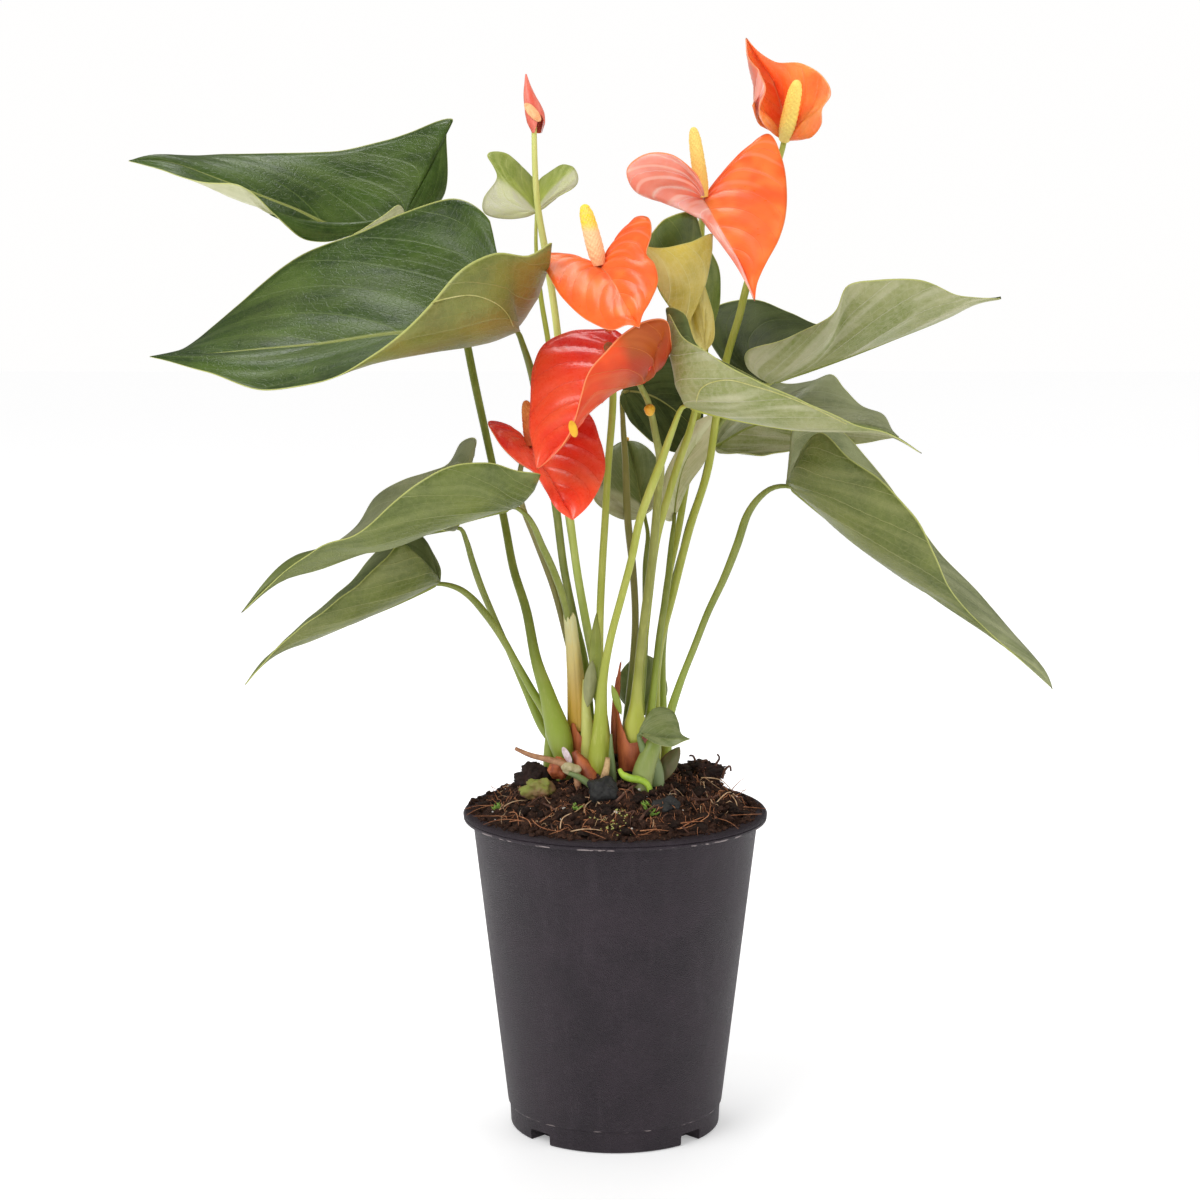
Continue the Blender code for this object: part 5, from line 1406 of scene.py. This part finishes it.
def spadix_look(name, tip, middle, foot, base_height, top_height):
    """Colours that change up the spike, with pale flower heads and darker seams between them."""
    look, tree, shader = new_material(name)
    place = place_of(tree)
    share = ramp(tree, part_of(tree, place, "Z"), base_height, top_height)
    body = mixed(tree, ramp(tree, share, 0.05, 0.4), foot, middle)
    body = mixed(tree, ramp(tree, share, 0.55, 0.8), body, tip)
    dots = add_node(tree, "ShaderNodeTexVoronoi", {"Vector": place, "Scale": 0.95}).outputs["Distance"]
    body = mixed(tree, ramp(tree, dots, 0.25, 0.65, 0, 0.6), body, mixed(tree, 0.5, body, foot))
    set_surface(tree, shader, body, ramp(tree, dots, 0.1, 0.6, 0.5, 0.7), 0.5, 0.0003, dots, inward=True)
    return look


def bloom(name, join, rib, tip, left, right, stalk, radii, base, spike, girth, faces, stalk_look, spike_look,
          depth=1.0, turned_half=0, swell=()):
    """A spathe, its stalk and its spadix, each in place of its own node. The spadix ends at the spike."""
    sheet, _ = blade(
        name + "_waxy_sheet", join, rib, tip, left, right, LOBE_SHARE, depth, SPATHE_RIB, SPATHE_SHEET,
        SPATHE_WAVE, faces, SPATHE_VEINS, turned_half,
    )
    on_plant(sheet, name + "_spathe")
    route, widths = [towards(join, stalk[0], 0.2), *stalk], [radii[0] * 0.8, *radii]
    stem(name + "_round_stalk", route, widths, base, stalk_look, node=name + "_stalk", swell=swell)
    cone = spadix(name + "_flower_spike", towards(join, spike, AXIS_GAP), spike, girth, spike_look)
    on_plant(cone, name + "_spadix")


# Finishes of the spathes. The upper face is orange or red like enamel, with sunk veins, and the lower one is
# duller and paler, with raised veins. Light comes through both.
ENAMEL = dict(relief=-0.4, net_share=0.08, coat_roughness=0.14, count=SPATHE_VEINS, fine=0.2)
DULL = dict(relief=0.5, net_share=0.12, count=SPATHE_VEINS, fine=0.2)
ORANGE_MARGIN = (250, 150, 100)
RED_MARGIN = (240, 96, 76)
spathe_orange = blade_look(
    "spathe_orange", (252, 112, 42), (247, 92, 34), (240, 98, 50), 0.32, ORANGE_MARGIN, coat=0.15,
    vein_share=0.35, bands=0.2, stripe=(253, 184, 166), stripe_share=0.15, through=0.3, tint=(252, 140, 66),
    tint_share=0.6, tint_scale=0.06, **ENAMEL,
)
# On the red face the lobes are a darker red: painted shade, where they lie in shade near the spadix. The pale
# cloudy patches are partly mottling, partly painted highlight.
spathe_red = blade_look(
    "spathe_red", (250, 84, 50), (242, 60, 38), (224, 46, 32), 0.28, RED_MARGIN, coat=0.4, vein_share=0.3,
    bands=0.2, tint=(250, 122, 84), tint_share=0.5, tint_scale=0.03, through=0.3, outer=(222, 46, 32),
    **ENAMEL,
)
spathe_salmon = blade_look(
    "spathe_salmon", (253, 184, 168), (240, 142, 118), (254, 214, 204), 0.36, ORANGE_MARGIN, coat=0.2,
    vein_share=0.5, stripe=(255, 222, 208), stripe_share=0.45, tint=(222, 104, 72), tint_share=0.75,
    tint_scale=0.035, through=0.3, **DULL,
)
spathe_red_under = blade_look(
    "spathe_red_under", (238, 84, 32), (212, 64, 26), (212, 122, 56), 0.4, ORANGE_MARGIN, gloss=0.2,
    tint=(178, 40, 22), tint_share=0.65, tint_scale=0.026, outer=(164, 72, 22), through=0.12, **DULL,
)
# The highest bloom's finish is a lighter, yellower copy of the orange one: partly its own tone, partly
# painted light for the light that falls on it and shines through it.
spathe_glow = blade_look(
    "spathe_glow", (254, 136, 64), (248, 96, 48), (253, 160, 110), 0.26, (254, 196, 140), coat=0.3,
    vein_share=0.35, bands=0.3, tint=(254, 172, 92), tint_share=0.6, tint_scale=0.06, through=0.4, **ENAMEL,
)

# Finishes of the spikes, which ripen up from the foot, with the heights between which the colours change
spadix_cream = spadix_look("spadix_cream", (252, 222, 60), (250, 214, 160), (250, 204, 150), 339, 362)
spadix_olive = spadix_look("spadix_olive", (122, 92, 40), (196, 96, 44), (214, 84, 40), 297, 311)
spadix_rust = spadix_look("spadix_rust", (226, 140, 62), (216, 116, 44), (190, 84, 34), 272, 289)
spadix_yellow = spadix_look("spadix_yellow", (252, 226, 112), (248, 222, 122), (238, 196, 100), 366, 408)

# The orange bloom in the middle. Its spathe is open like a saddle towards the viewer.
bloom(
    "bloom_centre", join=(-6, -30, 339), rib=[(-2, -44, 335), (3, -64, 326)], tip=(8, -78, 318),
    radii=[1.7, 1.8, 1.8, 1.8, 1.8, 1.9, 1.9, 1.9, 2.0, 2.3], base=(-4, -4), spike=(-12, -33, 362), girth=3.0,
    faces=(spathe_orange, spathe_salmon), stalk_look=stem_bright, spike_look=spadix_cream,
    left=[
        (-4, -28, 343), (2, -24, 349), (7, -24, 357), (12, -29, 357), (13, -36, 351), (11, -42, 344),
        (14, -48, 340), (15, -55, 334), (12, -66, 327), (9, -74, 322),
    ],
    right=[
        (-10, -27, 340), (-16, -22, 343), (-23, -19, 344), (-28, -24, 343), (-25, -36, 336), (-19, -50, 327),
        (-10, -64, 320), (-2, -73, 317), (4, -77, 319),
    ],
    stalk=[
        (-6, -27, 337), (-4, -16, 328), (-3, -4, 315), (-1, -3, 291), (-3, -4, 261), (-4, -5, 242),
        (-5, -5, 226), (-6, -5, 203), (-6, -4, 183),
    ],
)

# The large red bloom. Its spathe is folded along the midrib, with its tip down to the left.
bloom(
    "bloom_upper_red", join=(9, -36, 296), tip=(-29, -58, 266),
    radii=[1.7, 2.0, 2.0, 2.1, 2.2, 2.2, 2.3, 2.8, 4.6, 4.2], base=(7, -9), spike=(-4, -38, 311), girth=2.8,
    faces=(spathe_red, spathe_red_under), stalk_look=stem_bulb, spike_look=spadix_olive,
    depth=1.5, swell=[(160, 7, 1.6), (147, 6, -1.2)],
    rib=[(1, -38, 294), (-5, -42, 290), (-12, -46, 284), (-20, -52, 274)],
    left=[
        (13, -40, 299, 0), (18, -46, 305, -1), (20, -56, 311, -2), (18, -62, 320, -3), (10, -66, 320, -4),
        (2, -67, 315, -4), (-4, -68, 309, -4), (-10, -66, 302, -3), (-13, -62, 292, -2), (-17, -57, 279, 0),
        (-22, -56, 272),
    ],
    right=[
        (9, -28, 301), (6, -19, 308), (0, -13, 315), (-9, -11, 315), (-18, -12, 314), (-27, -16, 310),
        (-31, -22, 302), (-32, -32, 290), (-32, -44, 279), (-30, -54, 271),
    ],
    stalk=[
        (9, -33, 295), (12, -29, 289), (15, -24, 276), (17, -20, 264), (16, -17, 251), (14, -13, 227),
        (11, -11, 203), (9, -9, 184),
    ],
)

# The lowest bloom, bright red, half behind the larger one.
bloom(
    "bloom_low_red", join=(-32, -24, 271), rib=[(-28, -32, 266), (-22, -44, 257)], tip=(-16, -54, 247),
    radii=[1.4, 1.5, 1.5, 1.5, 1.6, 1.6, 1.7, 1.9, 2.2], base=(-15, 13), spike=(-34, -22, 289), girth=2.2,
    faces=(spathe_red, spathe_red_under), stalk_look=stem_olive, spike_look=spadix_rust,
    depth=1.5,
    left=[
        (-29, -17, 277), (-21, -12, 285), (-11, -13, 284), (-6, -22, 274), (-4, -32, 265), (-6, -42, 258),
        (-11, -51, 251),
    ],
    right=[
        (-36, -21, 275), (-41, -17, 279), (-48, -20, 281), (-45, -30, 275), (-38, -38, 268), (-30, -44, 263),
        (-26, -48, 257), (-22, -53, 251),
    ],
    stalk=[
        (-34, -21, 270), (-36, -16, 264), (-37, -10, 256), (-36, -4, 247), (-31, 0, 233), (-24, 4, 213),
        (-19, 7, 193), (-15, 9, 175),
    ],
)

# The orange bloom at the upper right. One lobe is curled up and shows its striped salmon underside.
bloom(
    "bloom_upper_orange", join=(33, -12, 364), rib=[(37, -24, 356), (44, -40, 343)], tip=(50, -58, 327),
    base=(12, 9), spike=(29, -12, 391), girth=2.6, faces=(spathe_orange, spathe_salmon),
    stalk_look=stem_bright, spike_look=spadix_yellow, turned_half=1,
    left=[
        (36, -9, 367), (40, -5, 373), (49, -1, 383), (58, 1, 389), (63, -7, 379), (64, -20, 364),
        (61, -34, 351), (55, -46, 341), (51, -53, 333),
    ],
    right=[
        (33, -16, 367, 0), (29, -26, 374, 0), (20, -34, 380, 0), (11, -36, 380), (4, -32, 375), (7, -24, 367),
        (18, -18, 363), (29, -18, 359), (36, -28, 351), (44, -46, 339),
    ],
    stalk=[
        (33, -9, 362), (33, 0, 357), (33, 8, 349), (34, 13, 339), (35, 16, 326), (35, 16, 306), (33, 16, 287),
        (31, 19, 271), (28, 20, 253), (25, 19, 235), (21, 16, 216), (18, 12, 192), (16, 10, 176),
    ],
    radii=[1.7, 1.8, 1.8, 1.8, 1.8, 1.8, 1.8, 1.8, 1.8, 1.9, 1.9, 2.0, 2.1, 2.4],
)

# The highest bloom, cupped round its yellow spadix, with its tip upwards.
bloom(
    "bloom_top", join=(65, 12, 387), rib=[(65, 19, 397), (62, 22, 408), (56, 26, 419)], tip=(51, 30, 427),
    base=(16, 4), spike=(68, -12, 408), girth=3.0, faces=(spathe_glow, spathe_salmon), stalk_look=stem_bright,
    spike_look=spadix_yellow,
    left=[
        (61, 9, 389, 0), (56, 1, 393, -3), (54, -8, 398, -6), (56, -12, 405, -8), (54, -6, 412, -6),
        (51, 12, 418, -3),
    ],
    right=[
        (70, 8, 387), (75, 3, 388), (78, -1, 392), (78, -4, 398), (81, -6, 403), (79, 0, 410), (71, 10, 416),
        (62, 18, 417), (55, 25, 422),
    ],
    stalk=[
        (65, 13, 386), (63, 13, 379), (60, 12, 364), (56, 11, 347), (51, 9, 332), (48, 7, 320), (43, 6, 303),
        (39, 5, 280), (36, 5, 260), (29, 5, 237), (22, 5, 209), (18, 5, 193), (16, 5, 177),
    ],
    radii=[1.7, 1.9, 1.9, 1.9, 1.9, 1.9, 1.9, 1.9, 2.0, 2.0, 2.0, 2.1, 2.2, 2.5],
)

# The bud: a spathe still rolled into a slim cone round its spadix. Its outer edge laps over the front and
# turns back in a small peach flap above the dark mouth.
bud_line = [(-30, -4, 389), (-31, -4, 397), (-33, -4, 404), (-34, -4, 411)]
BUD_RADII = [1.9, 3.7, 4.0, 3.3, 2.3, 1.2, 0.3]
MOUTH_ANGLE = -52
ALONG = (1, 1, 0.2)


def rolled_bud(name, look):
    """A sheet wound a turn and a quarter round the bud's line, its outer lap standing a little off."""
    rings, around = 60, 72
    shares = np.linspace(0, 1, rings + 1)
    centres = through(bud_line, shares)
    widths = smoothed(np.interp(shares, np.linspace(0, 1, len(BUD_RADII)), BUD_RADII), 4)
    bm = bmesh.new()
    rows = []
    for share in shares:
        row = []
        for j in range(around + 1):
            turn = j / around
            angle = math.radians(-60 + 35 * share + 450 * turn)
            lap = 0.78 + 0.22 * turn
            from_mouth = (math.degrees(angle) - MOUTH_ANGLE + 180) % 360 - 180
            raised = share + 0.3 * (1 - share) ** 2 * math.exp(-((from_mouth / 34) ** 2))
            spot = np.array([np.interp(raised, shares, centres[:, axis]) for axis in range(3)])
            reach = float(np.interp(raised, shares, widths)) * lap
            row.append(bm.verts.new((spot + reach * np.array([math.cos(angle), math.sin(angle), 0])) * MM))
        rows.append(row)
    skinned(bm, rows, closed=False)
    return mesh_item(name, bm, look)


bud_red = plain_look("bud_red", (240, 138, 118), (226, 96, 76), 0.3, 0.36, 0.0002, ALONG)
on_plant(rolled_bud("bud_roll", bud_red), "bud_spathe")

bud_stalk = [
    (-31, -4, 393), (-30, -2, 364), (-27, 0, 345), (-24, 2, 326), (-22, 3, 309), (-21, 3, 288),
    (-20, 2, 264), (-18, 2, 245), (-15, 2, 221), (-11, 2, 198), (-7, 3, 176),
]
BUD_STALK_RADII = [1.0, 1.2, 1.4, 1.4, 1.5, 1.5, 1.5, 1.6, 1.7, 1.8, 2.0, 2.3]
stem("bud_stalk_fine", bud_stalk, BUD_STALK_RADII, (-5, 3), stem_pale, node="bud_stalk", slim=1.0)

# The dry sheaths at the crown. Each once wrapped a young leaf. They are papery, streaked along and torn at
# their edges, the tan one still firm and the brown ones like thin bark.
SHEATH_THICKNESS = 0.5


def sheath(name, node, route, radii, start, sweep, look, seed, edge):
    """A sheet rolled part of the way round a stem, its radii read along the route, with wrinkles. Start and
    sweep are angles in degrees, from the right towards the back. The edge gives, at some shares of the
    sweep, how far up the route the sheet's upper end lies there."""
    rings, around = 56, 34
    shares = np.linspace(0, 1, rings)
    centres = through(route, shares)
    widths = smoothed(np.interp(shares, np.linspace(0, 1, len(radii)), radii), 3)
    bm = bmesh.new()
    rows = []
    turns = np.linspace(0, 1, around)
    ends = smoothed(np.interp(turns, *zip(*edge)), 2)
    ends = ends + 0.05 * np.array([noise.noise(Vector((turn * 17, seed, 0))) for turn in turns])
    for share in shares:
        row = []
        for turn, end in zip(turns, ends):
            angle = math.radians(start + sweep * turn)
            at = share * min(end, 1.0)
            wrinkle = 0.3 * noise.noise(Vector((angle * 4.5, at * 2.4, seed)))
            reach = float(np.interp(at, shares, widths)) + 0.45 + wrinkle
            centre = np.array([np.interp(at, shares, centres[:, axis]) for axis in range(3)])
            row.append(bm.verts.new((centre + reach * np.array([math.cos(angle), math.sin(angle), 0])) * MM))
        rows.append(row)
    skinned(bm, rows, closed=False)
    on_plant(thickened(mesh_item(name, bm, look), SHEATH_THICKNESS), node)


sheath_tan_look = stem_look("sheath_tan", (206, 204, 150), (204, 160, 54), (218, 190, 96), 190, 0.5)
sheath_rust_look = plain_look("sheath_rust", (196, 108, 62), (146, 70, 40), 0.25, 0.5, 0.0003, (1, 1, 0.25))
sheath(
    "tan_sheath", "sheath_tan", [(-14.6, 0.5, 158), (-15, -0.5, 170), (-16, -3, 186), (-18, -7, 206)],
    [3.6, 3.0, 2.1, 1.6], 130, 250, sheath_tan_look, 1.0,
    [(0, 0.9), (0.3, 1), (0.55, 0.96), (0.8, 1), (1, 0.88)],
)
sheath(
    "brown_sheath_left", "sheath_brown_left", [(-14, 0, 146), (-13, -1, 153), (-13, -1, 163)],
    [3.6, 4.6, 4.6], 185, 190, sheath_rust_look, 2.0,
    [(0, 0.5), (0.2, 0.98), (0.45, 0.6), (0.72, 1), (1, 0.55)],
)
sheath(
    "brown_sheath_centre", "sheath_brown_centre",
    [(6.5, -9, 143), (7, -9.5, 153), (6.5, -9, 163), (4.6, -8, 173)],
    [4.4, 5.8, 5.6, 4.8], 150, 240, sheath_rust_look, 3.0,
    [(0, 0.6), (0.12, 1), (0.25, 0.85), (0.42, 0.42), (0.6, 0.44), (0.8, 0.7), (1, 0.5)],
)
sheath(
    "brown_sheath_tip", "sheath_brown_tip",
    [(0.5, -5, 150), (0, -5.5, 162), (0.6, -5.5, 174), (2.5, -5.5, 187)],
    [1.3, 1.0, 0.5, 0.0], 170, 180, sheath_rust_look, 4.0,
    [(0, 0.7), (0.4, 1), (1, 0.7)],
)

# Bedded in the peat: a charcoal stone, a dark bark chunk and the olive foot of an old leaf, with a clod and a
# heap of coarser peat. They are rough lumps of coal, bark and husk that sank in as the pot was filled.


def lump(name, node, centre, size, seed, look, rough=0.28, detail=0.12):
    """A rough lump, long, broad and high as told."""
    bm = bmesh.new()
    bmesh.ops.create_icosphere(bm, subdivisions=5, radius=1)
    for vertex in bm.verts:
        push = 1 + rough * noise.noise(vertex.co * 1.3 + Vector((seed, 0, 0)))
        push += detail * noise.fractal(vertex.co * 3.4 + Vector((0, seed, 0)), 0.8, 2.2, 4)
        vertex.co = (Vector([a * push * b for a, b in zip(vertex.co, size)]) + Vector(centre)) * MM
    for face in bm.faces:
        face.smooth = True
    on_plant(mesh_item(name, bm, look), node)


charcoal = plain_look("charcoal_stone", (52, 52, 50), (30, 30, 31), 0.5, 0.7, 0.0008)
bark_look = plain_look("bark_umber", (58, 38, 32), (30, 20, 18), 0.35, 0.85, 0.0012)
husk_look = plain_look("husk_olive", (134, 150, 58), (132, 96, 66), 0.1, 0.6, 0.0006)
lump("charcoal_lump", "stone", (-4.5, -26.5, 139.6), (6.2, 4.6, 5.2), 3.0, charcoal, 0.4)
lump("bark_chunk", "bark_dark", (-32.5, -4, 140.6), (6.0, 4.0, 4.6), 8.0, bark_look, 0.5, 0.2)
lump("olive_husk", "bark_olive", (-30, -18, 138.6), (5.8, 3.2, 3.6), 5.0, husk_look, 0.5, 0.16)
lump("peat_clod", None, (19.5, -33, 134.6), (5.0, 3.4, 3.6), 11.0, charcoal, 0.5, 0.2)
lump("peat_heap", None, (34, 13, 138.4), (9.0, 5.0, 4.6), 14.0, bark_look, 0.5, 0.3)

# A dead root that lies across the left of the crown, woody and bent, and two juicy green shoots at its front.
# Each grows out of the rootstock and stands in the peat by its own foot.
SHORT_RINGS = 40
SHORTEST_RINGS = 30
root_tan_look = plain_look("root_tan", (190, 142, 104), (146, 98, 66), 0.3, 0.6, 0.0003)
shoot_green = plain_look("shoot_green", (176, 206, 70), (132, 168, 50), 0.2, 0.4, 0.0002)
stem(
    "dead_root",
    [(-39, -11, 153), (-33, -12, 150.5), (-27, -13, 149.2), (-20.5, -14.5, 147.6), (-15.5, -17, 145)],
    [0.7, 1.0, 1.2, 1.5, 1.6, 1.4, 1.2], (-14.5, -19), root_tan_look, "root_left", straight=140,
    rings=SHORT_RINGS,
)
stem(
    "curved_shoot", [(1.5, -22, 147), (3, -23.5, 145), (6, -25, 144), (9, -25.5, 143.6), (12, -25.5, 142)],
    [0.8, 1.5, 1.5, 1.3, 1.1, 1.0, 1.0], (13.5, -25.5), shoot_green, node="shoot_curved", straight=138.5,
    rings=SHORT_RINGS,
)
stem(
    "upright_shoot", [(-1.7, -18.2, 160), (-1.6, -18.6, 152)], [0.4, 1.2, 1.5, 1.4], (-1, -19), stem_grey,
    node="shoot_upright", straight=143, rings=SHORT_RINGS,
)

# The feet of old leaves and shoots at the crown: a brown one with a scale beside it, a beige stub and a
# shoot that lies on the peat. They are dry or half dry, and a blob of dried sap sits among them.
stub_beige = plain_look("stub_beige", (204, 172, 124), (160, 122, 82), 0.5, 0.7, 0.0003)
sap = plain_look("dried_sap", (196, 184, 146), (168, 156, 112), 0.4, 0.4, 0.0002)
stem(
    "brown_foot", [(-16, -12, 152), (-13, -13.5, 147), (-10, -15, 143)], [1.2, 3.2, 3.6, 3.0, 2.0], (-8, -16),
    sheath_rust_look, straight=138, rings=SHORT_RINGS,
)
lump("brown_scale", None, (-22, -12, 145.5), (4.0, 2.6, 4.6), 41.0, sheath_rust_look, 0.3,
     0.08)
stem(
    "beige_stub", [(-3, -21.5, 151.5), (-3.4, -22, 148)], [0.9, 1.5, 1.8, 1.7], (-4.4, -22.5), stub_beige,
    straight=143, rings=SHORTEST_RINGS,
)
stem(
    "lying_shoot", [(-18, -20, 145), (-13, -21, 143)], [0.9, 1.4, 1.4, 1.1], (-8.6, -21.5), stem_grey,
    straight=139, rings=SHORTEST_RINGS,
)
lump("dried_blob", None, (-17.2, -18.5, 146.4), (4.0, 2.0, 2.3), 21.0, sap, 0.3, 0.08)

# Thin papery and leafy scraps: a white flake, and the stipules and bracts that stand by the stems. Each is
# a curled skin that dries where it grew.
SCRAP_CURL = 0.3
SCRAP_THICKNESS = 0.25


def scrap(name, centre, length, breadth, lift, look, points=0.0):
    """A thin oval flake, given by its middle, its two half axes and how far its middle stands out. Its ends
    run to points if told."""
    bm = bmesh.new()
    rings, around = 10, 36
    centre, length, breadth, lift = (np.asarray(item, float) for item in (centre, length, breadth, lift))
    rows = []
    for i in range(rings + 1):
        row = []
        for j in range(around):
            share, angle = max(i, 0.01) / rings, 2 * math.pi * j / around
            side = math.copysign(abs(math.sin(angle)) ** (1 + points), math.sin(angle))
            flat = centre + share * (math.cos(angle) * length + side * breadth)
            bend = 1 - share**2 + SCRAP_CURL * noise.noise(Vector(flat * 0.5))
            row.append(bm.verts.new((flat + lift * bend) * MM))
        rows.append(row)
    skinned(bm, rows, flipped=True)
    bmesh.ops.remove_doubles(bm, verts=bm.verts, dist=WELD)
    on_plant(thickened(mesh_item(name, bm, look), SCRAP_THICKNESS))


papery = plain_look("papery_white", (232, 216, 220), (196, 170, 174), 0.5, 0.6)
grey_blade = plain_look("blade_grey", (160, 160, 112), (134, 138, 90), 0.2, 0.45, 0.0002, ALONG)
dark_blade = plain_look("blade_dark", (92, 106, 62), (112, 96, 66), 0.2, 0.5, 0.0002, ALONG)
scrap("white_flake", (-18.8, -16, 151.2), (-1.3, 0, 3.3), (1.5, -0.4, -0.2), (0, -0.5, 0), papery)
scrap("small_stipule", (-7.9, -7.5, 188.6), (0.4, 1.5, 16.9), (2.3, 0, 0), (0, -0.8, 0), stem_green,
      1.0)
scrap("grey_stipule", (-9.9, -11, 178.4), (0.9, -1, 9.4), (2.5, 0, 0), (0, -0.8, 0), grey_blade, 0.6)
scrap("pale_bract", (0.4, -13, 172.6), (-1.9, -1, 6.2), (1.3, 0, 0.4), (0, -0.6, 0), stem_green, 0.8)
scrap("side_sheath", (20, -14, 146.6), (4.9, 0, 7.6), (2.9, -1, -1.6), (0, -1.2, 0), dark_blade, 0.6)

# The front leaf's thick stub and a blanched bulb beside the tan sheath. Both are the swollen, juicy feet of
# petioles, and stand in the peat.
stub_look = stem_look("stem_stub", (122, 140, 58), (176, 182, 126), (156, 164, 96), 146)
stem_blanched = stem_look("stem_blanched", (212, 216, 140), (206, 210, 108), (226, 226, 168), 178)
stem(
    "crown_stub", [(16.2, -19, 160), (13.4, -20, 153), (11.2, -20.5, 147)], [2.4, 3.6, 4.2, 4.1, 4.0],
    (10.2, -20.5), stub_look, straight=142, rings=SHORT_RINGS,
)
stem(
    "pale_bulb", [(-11.8, -4, 179), (-11.6, -4.4, 170), (-11, -5, 160)], [1.0, 1.9, 3.0, 3.4, 3.2],
    (-10.4, -5), stem_blanched, straight=148, rings=SHORT_RINGS, slim=1.0,
)

# Yellow marks, where the tissue ages: a knot on a flower stalk, a spot at a leaf's tip and a leaf's yellowed
# edge. The bud's peach flap is the edge of its own spathe, turned back.
yellow_spot = plain_look("yellow_spot", (240, 190, 44), (226, 160, 40), 0.5, 0.4)
peach = plain_look("bud_peach", (252, 196, 140), (248, 172, 116), 0.5, 0.4)
lump("stalk_knot", None, (12.6, -29.4, 285.8), (2.0, 1.9, 2.2), 31.0, yellow_spot, 0.1, 0.04)
lump("tip_spot", None, (5.0, 52, 268.6), (0.9, 0.9, 0.9), 33.0, yellow_spot, 0.1, 0.04)
scrap("yellowed_edge", (-15.8, -59.2, 280.8), (-0.9, 0, 3.0), (1.4, 0.6, 0.5), (0, -0.3, 0), yellow_spot)
scrap("bud_flap", (-31.4, -8.0, 396.6), (2.9, 0.5, -3.3), (1.3, 0, 1.15), (0, -0.8, 0), peach)

# The lobes of the two foremost big leaves lap over each other at the join, and the upper lobe's pale rim
# shows as a fine ridge on the lower one. It is the leaf's own margin, laid close on the blade.
RIM_LIFT = 0.1
MOST_STEP = 3
lobe_rim = plain_look("lobe_rim", (172, 172, 96), (194, 190, 128), 0.3, 0.45)


def lapped_rim(name, blade_name, route, width=0.27):
    """A fine rim laid on the near side of a blade along a route of places, each from the left and up. It
    ends where the blade below it steps back."""
    mesh = bpy.data.objects[blade_name].data
    skin = BVHTree.FromPolygons([v.co for v in mesh.vertices], [f.vertices for f in mesh.polygons])
    keys = [(x, 0, z) for x, z in route]
    runs = [[]]
    for x, _, z in through(keys, np.linspace(0, 1, 48)):
        place, _, _, _ = skin.ray_cast(Vector((x, -200, z)) * MM, Vector((0, 1, 0)))
        if place:
            point = np.array(place) / MM - np.array((0, RIM_LIFT, 0))
            if runs[-1] and abs(point[1] - runs[-1][-1][1]) > MOST_STEP:
                runs.append([])
            runs[-1].append(point)
    points = max(runs, key=len)
    strands(name, [(points, np.linspace(width, width * 0.7, len(points)))], lobe_rim)


BIG_LOBE = [(-68, 326), (-61, 328), (-52, 329), (-44, 326), (-40, 322), (-38, 317)]
FRONT_LOBE = [(29, 289), (31, 296), (39, 299), (49, 297), (64, 292), (83, 283)]
lapped_rim("big_lobe_rim", "leaf_big_left_blade", BIG_LOBE)
lapped_rim("front_lobe_rim", "leaf_front_right_blade", FRONT_LOBE)

# Loose peat that was spilled on the pot's rim as it was filled, and a few rust-brown fibres of the compost
# that hang over the lip. Nothing holds them but their own weight and the damp.
RIM_BAND = (54.2, 57.8)
FIBRE_TURNS = (186, 192, 205, 214, 246, 262, 281, 304, 322, 338, 351, 24, 96, 141)
crumbs("rim_crumbs", 700, 0.3, 1.5, peat_brown, ring=RIM_BAND)
over_rim = []
for turn in FIBRE_TURNS:
    angle = math.radians(turn)
    lean = draw.uniform(-9, 9)
    out = Vector((math.cos(angle), math.sin(angle), 0))
    along = Vector((-math.sin(angle), math.cos(angle), 0)) * lean
    reach, drop = draw.uniform(59, 59.8), draw.uniform(-1.0, 2.4)
    keys = [out * 48 - along + Vector((0, 0, 129.4)), out * 55 + Vector((0, 0, 128.9)),
            out * reach + along * 0.5 + Vector((0, 0, 127.6 + drop))]
    over_rim.append((through(keys, np.linspace(0, 1, 12)), np.linspace(0.16, 0.06, 12)))
strands("rim_fibres", over_rim, fibre_rust)
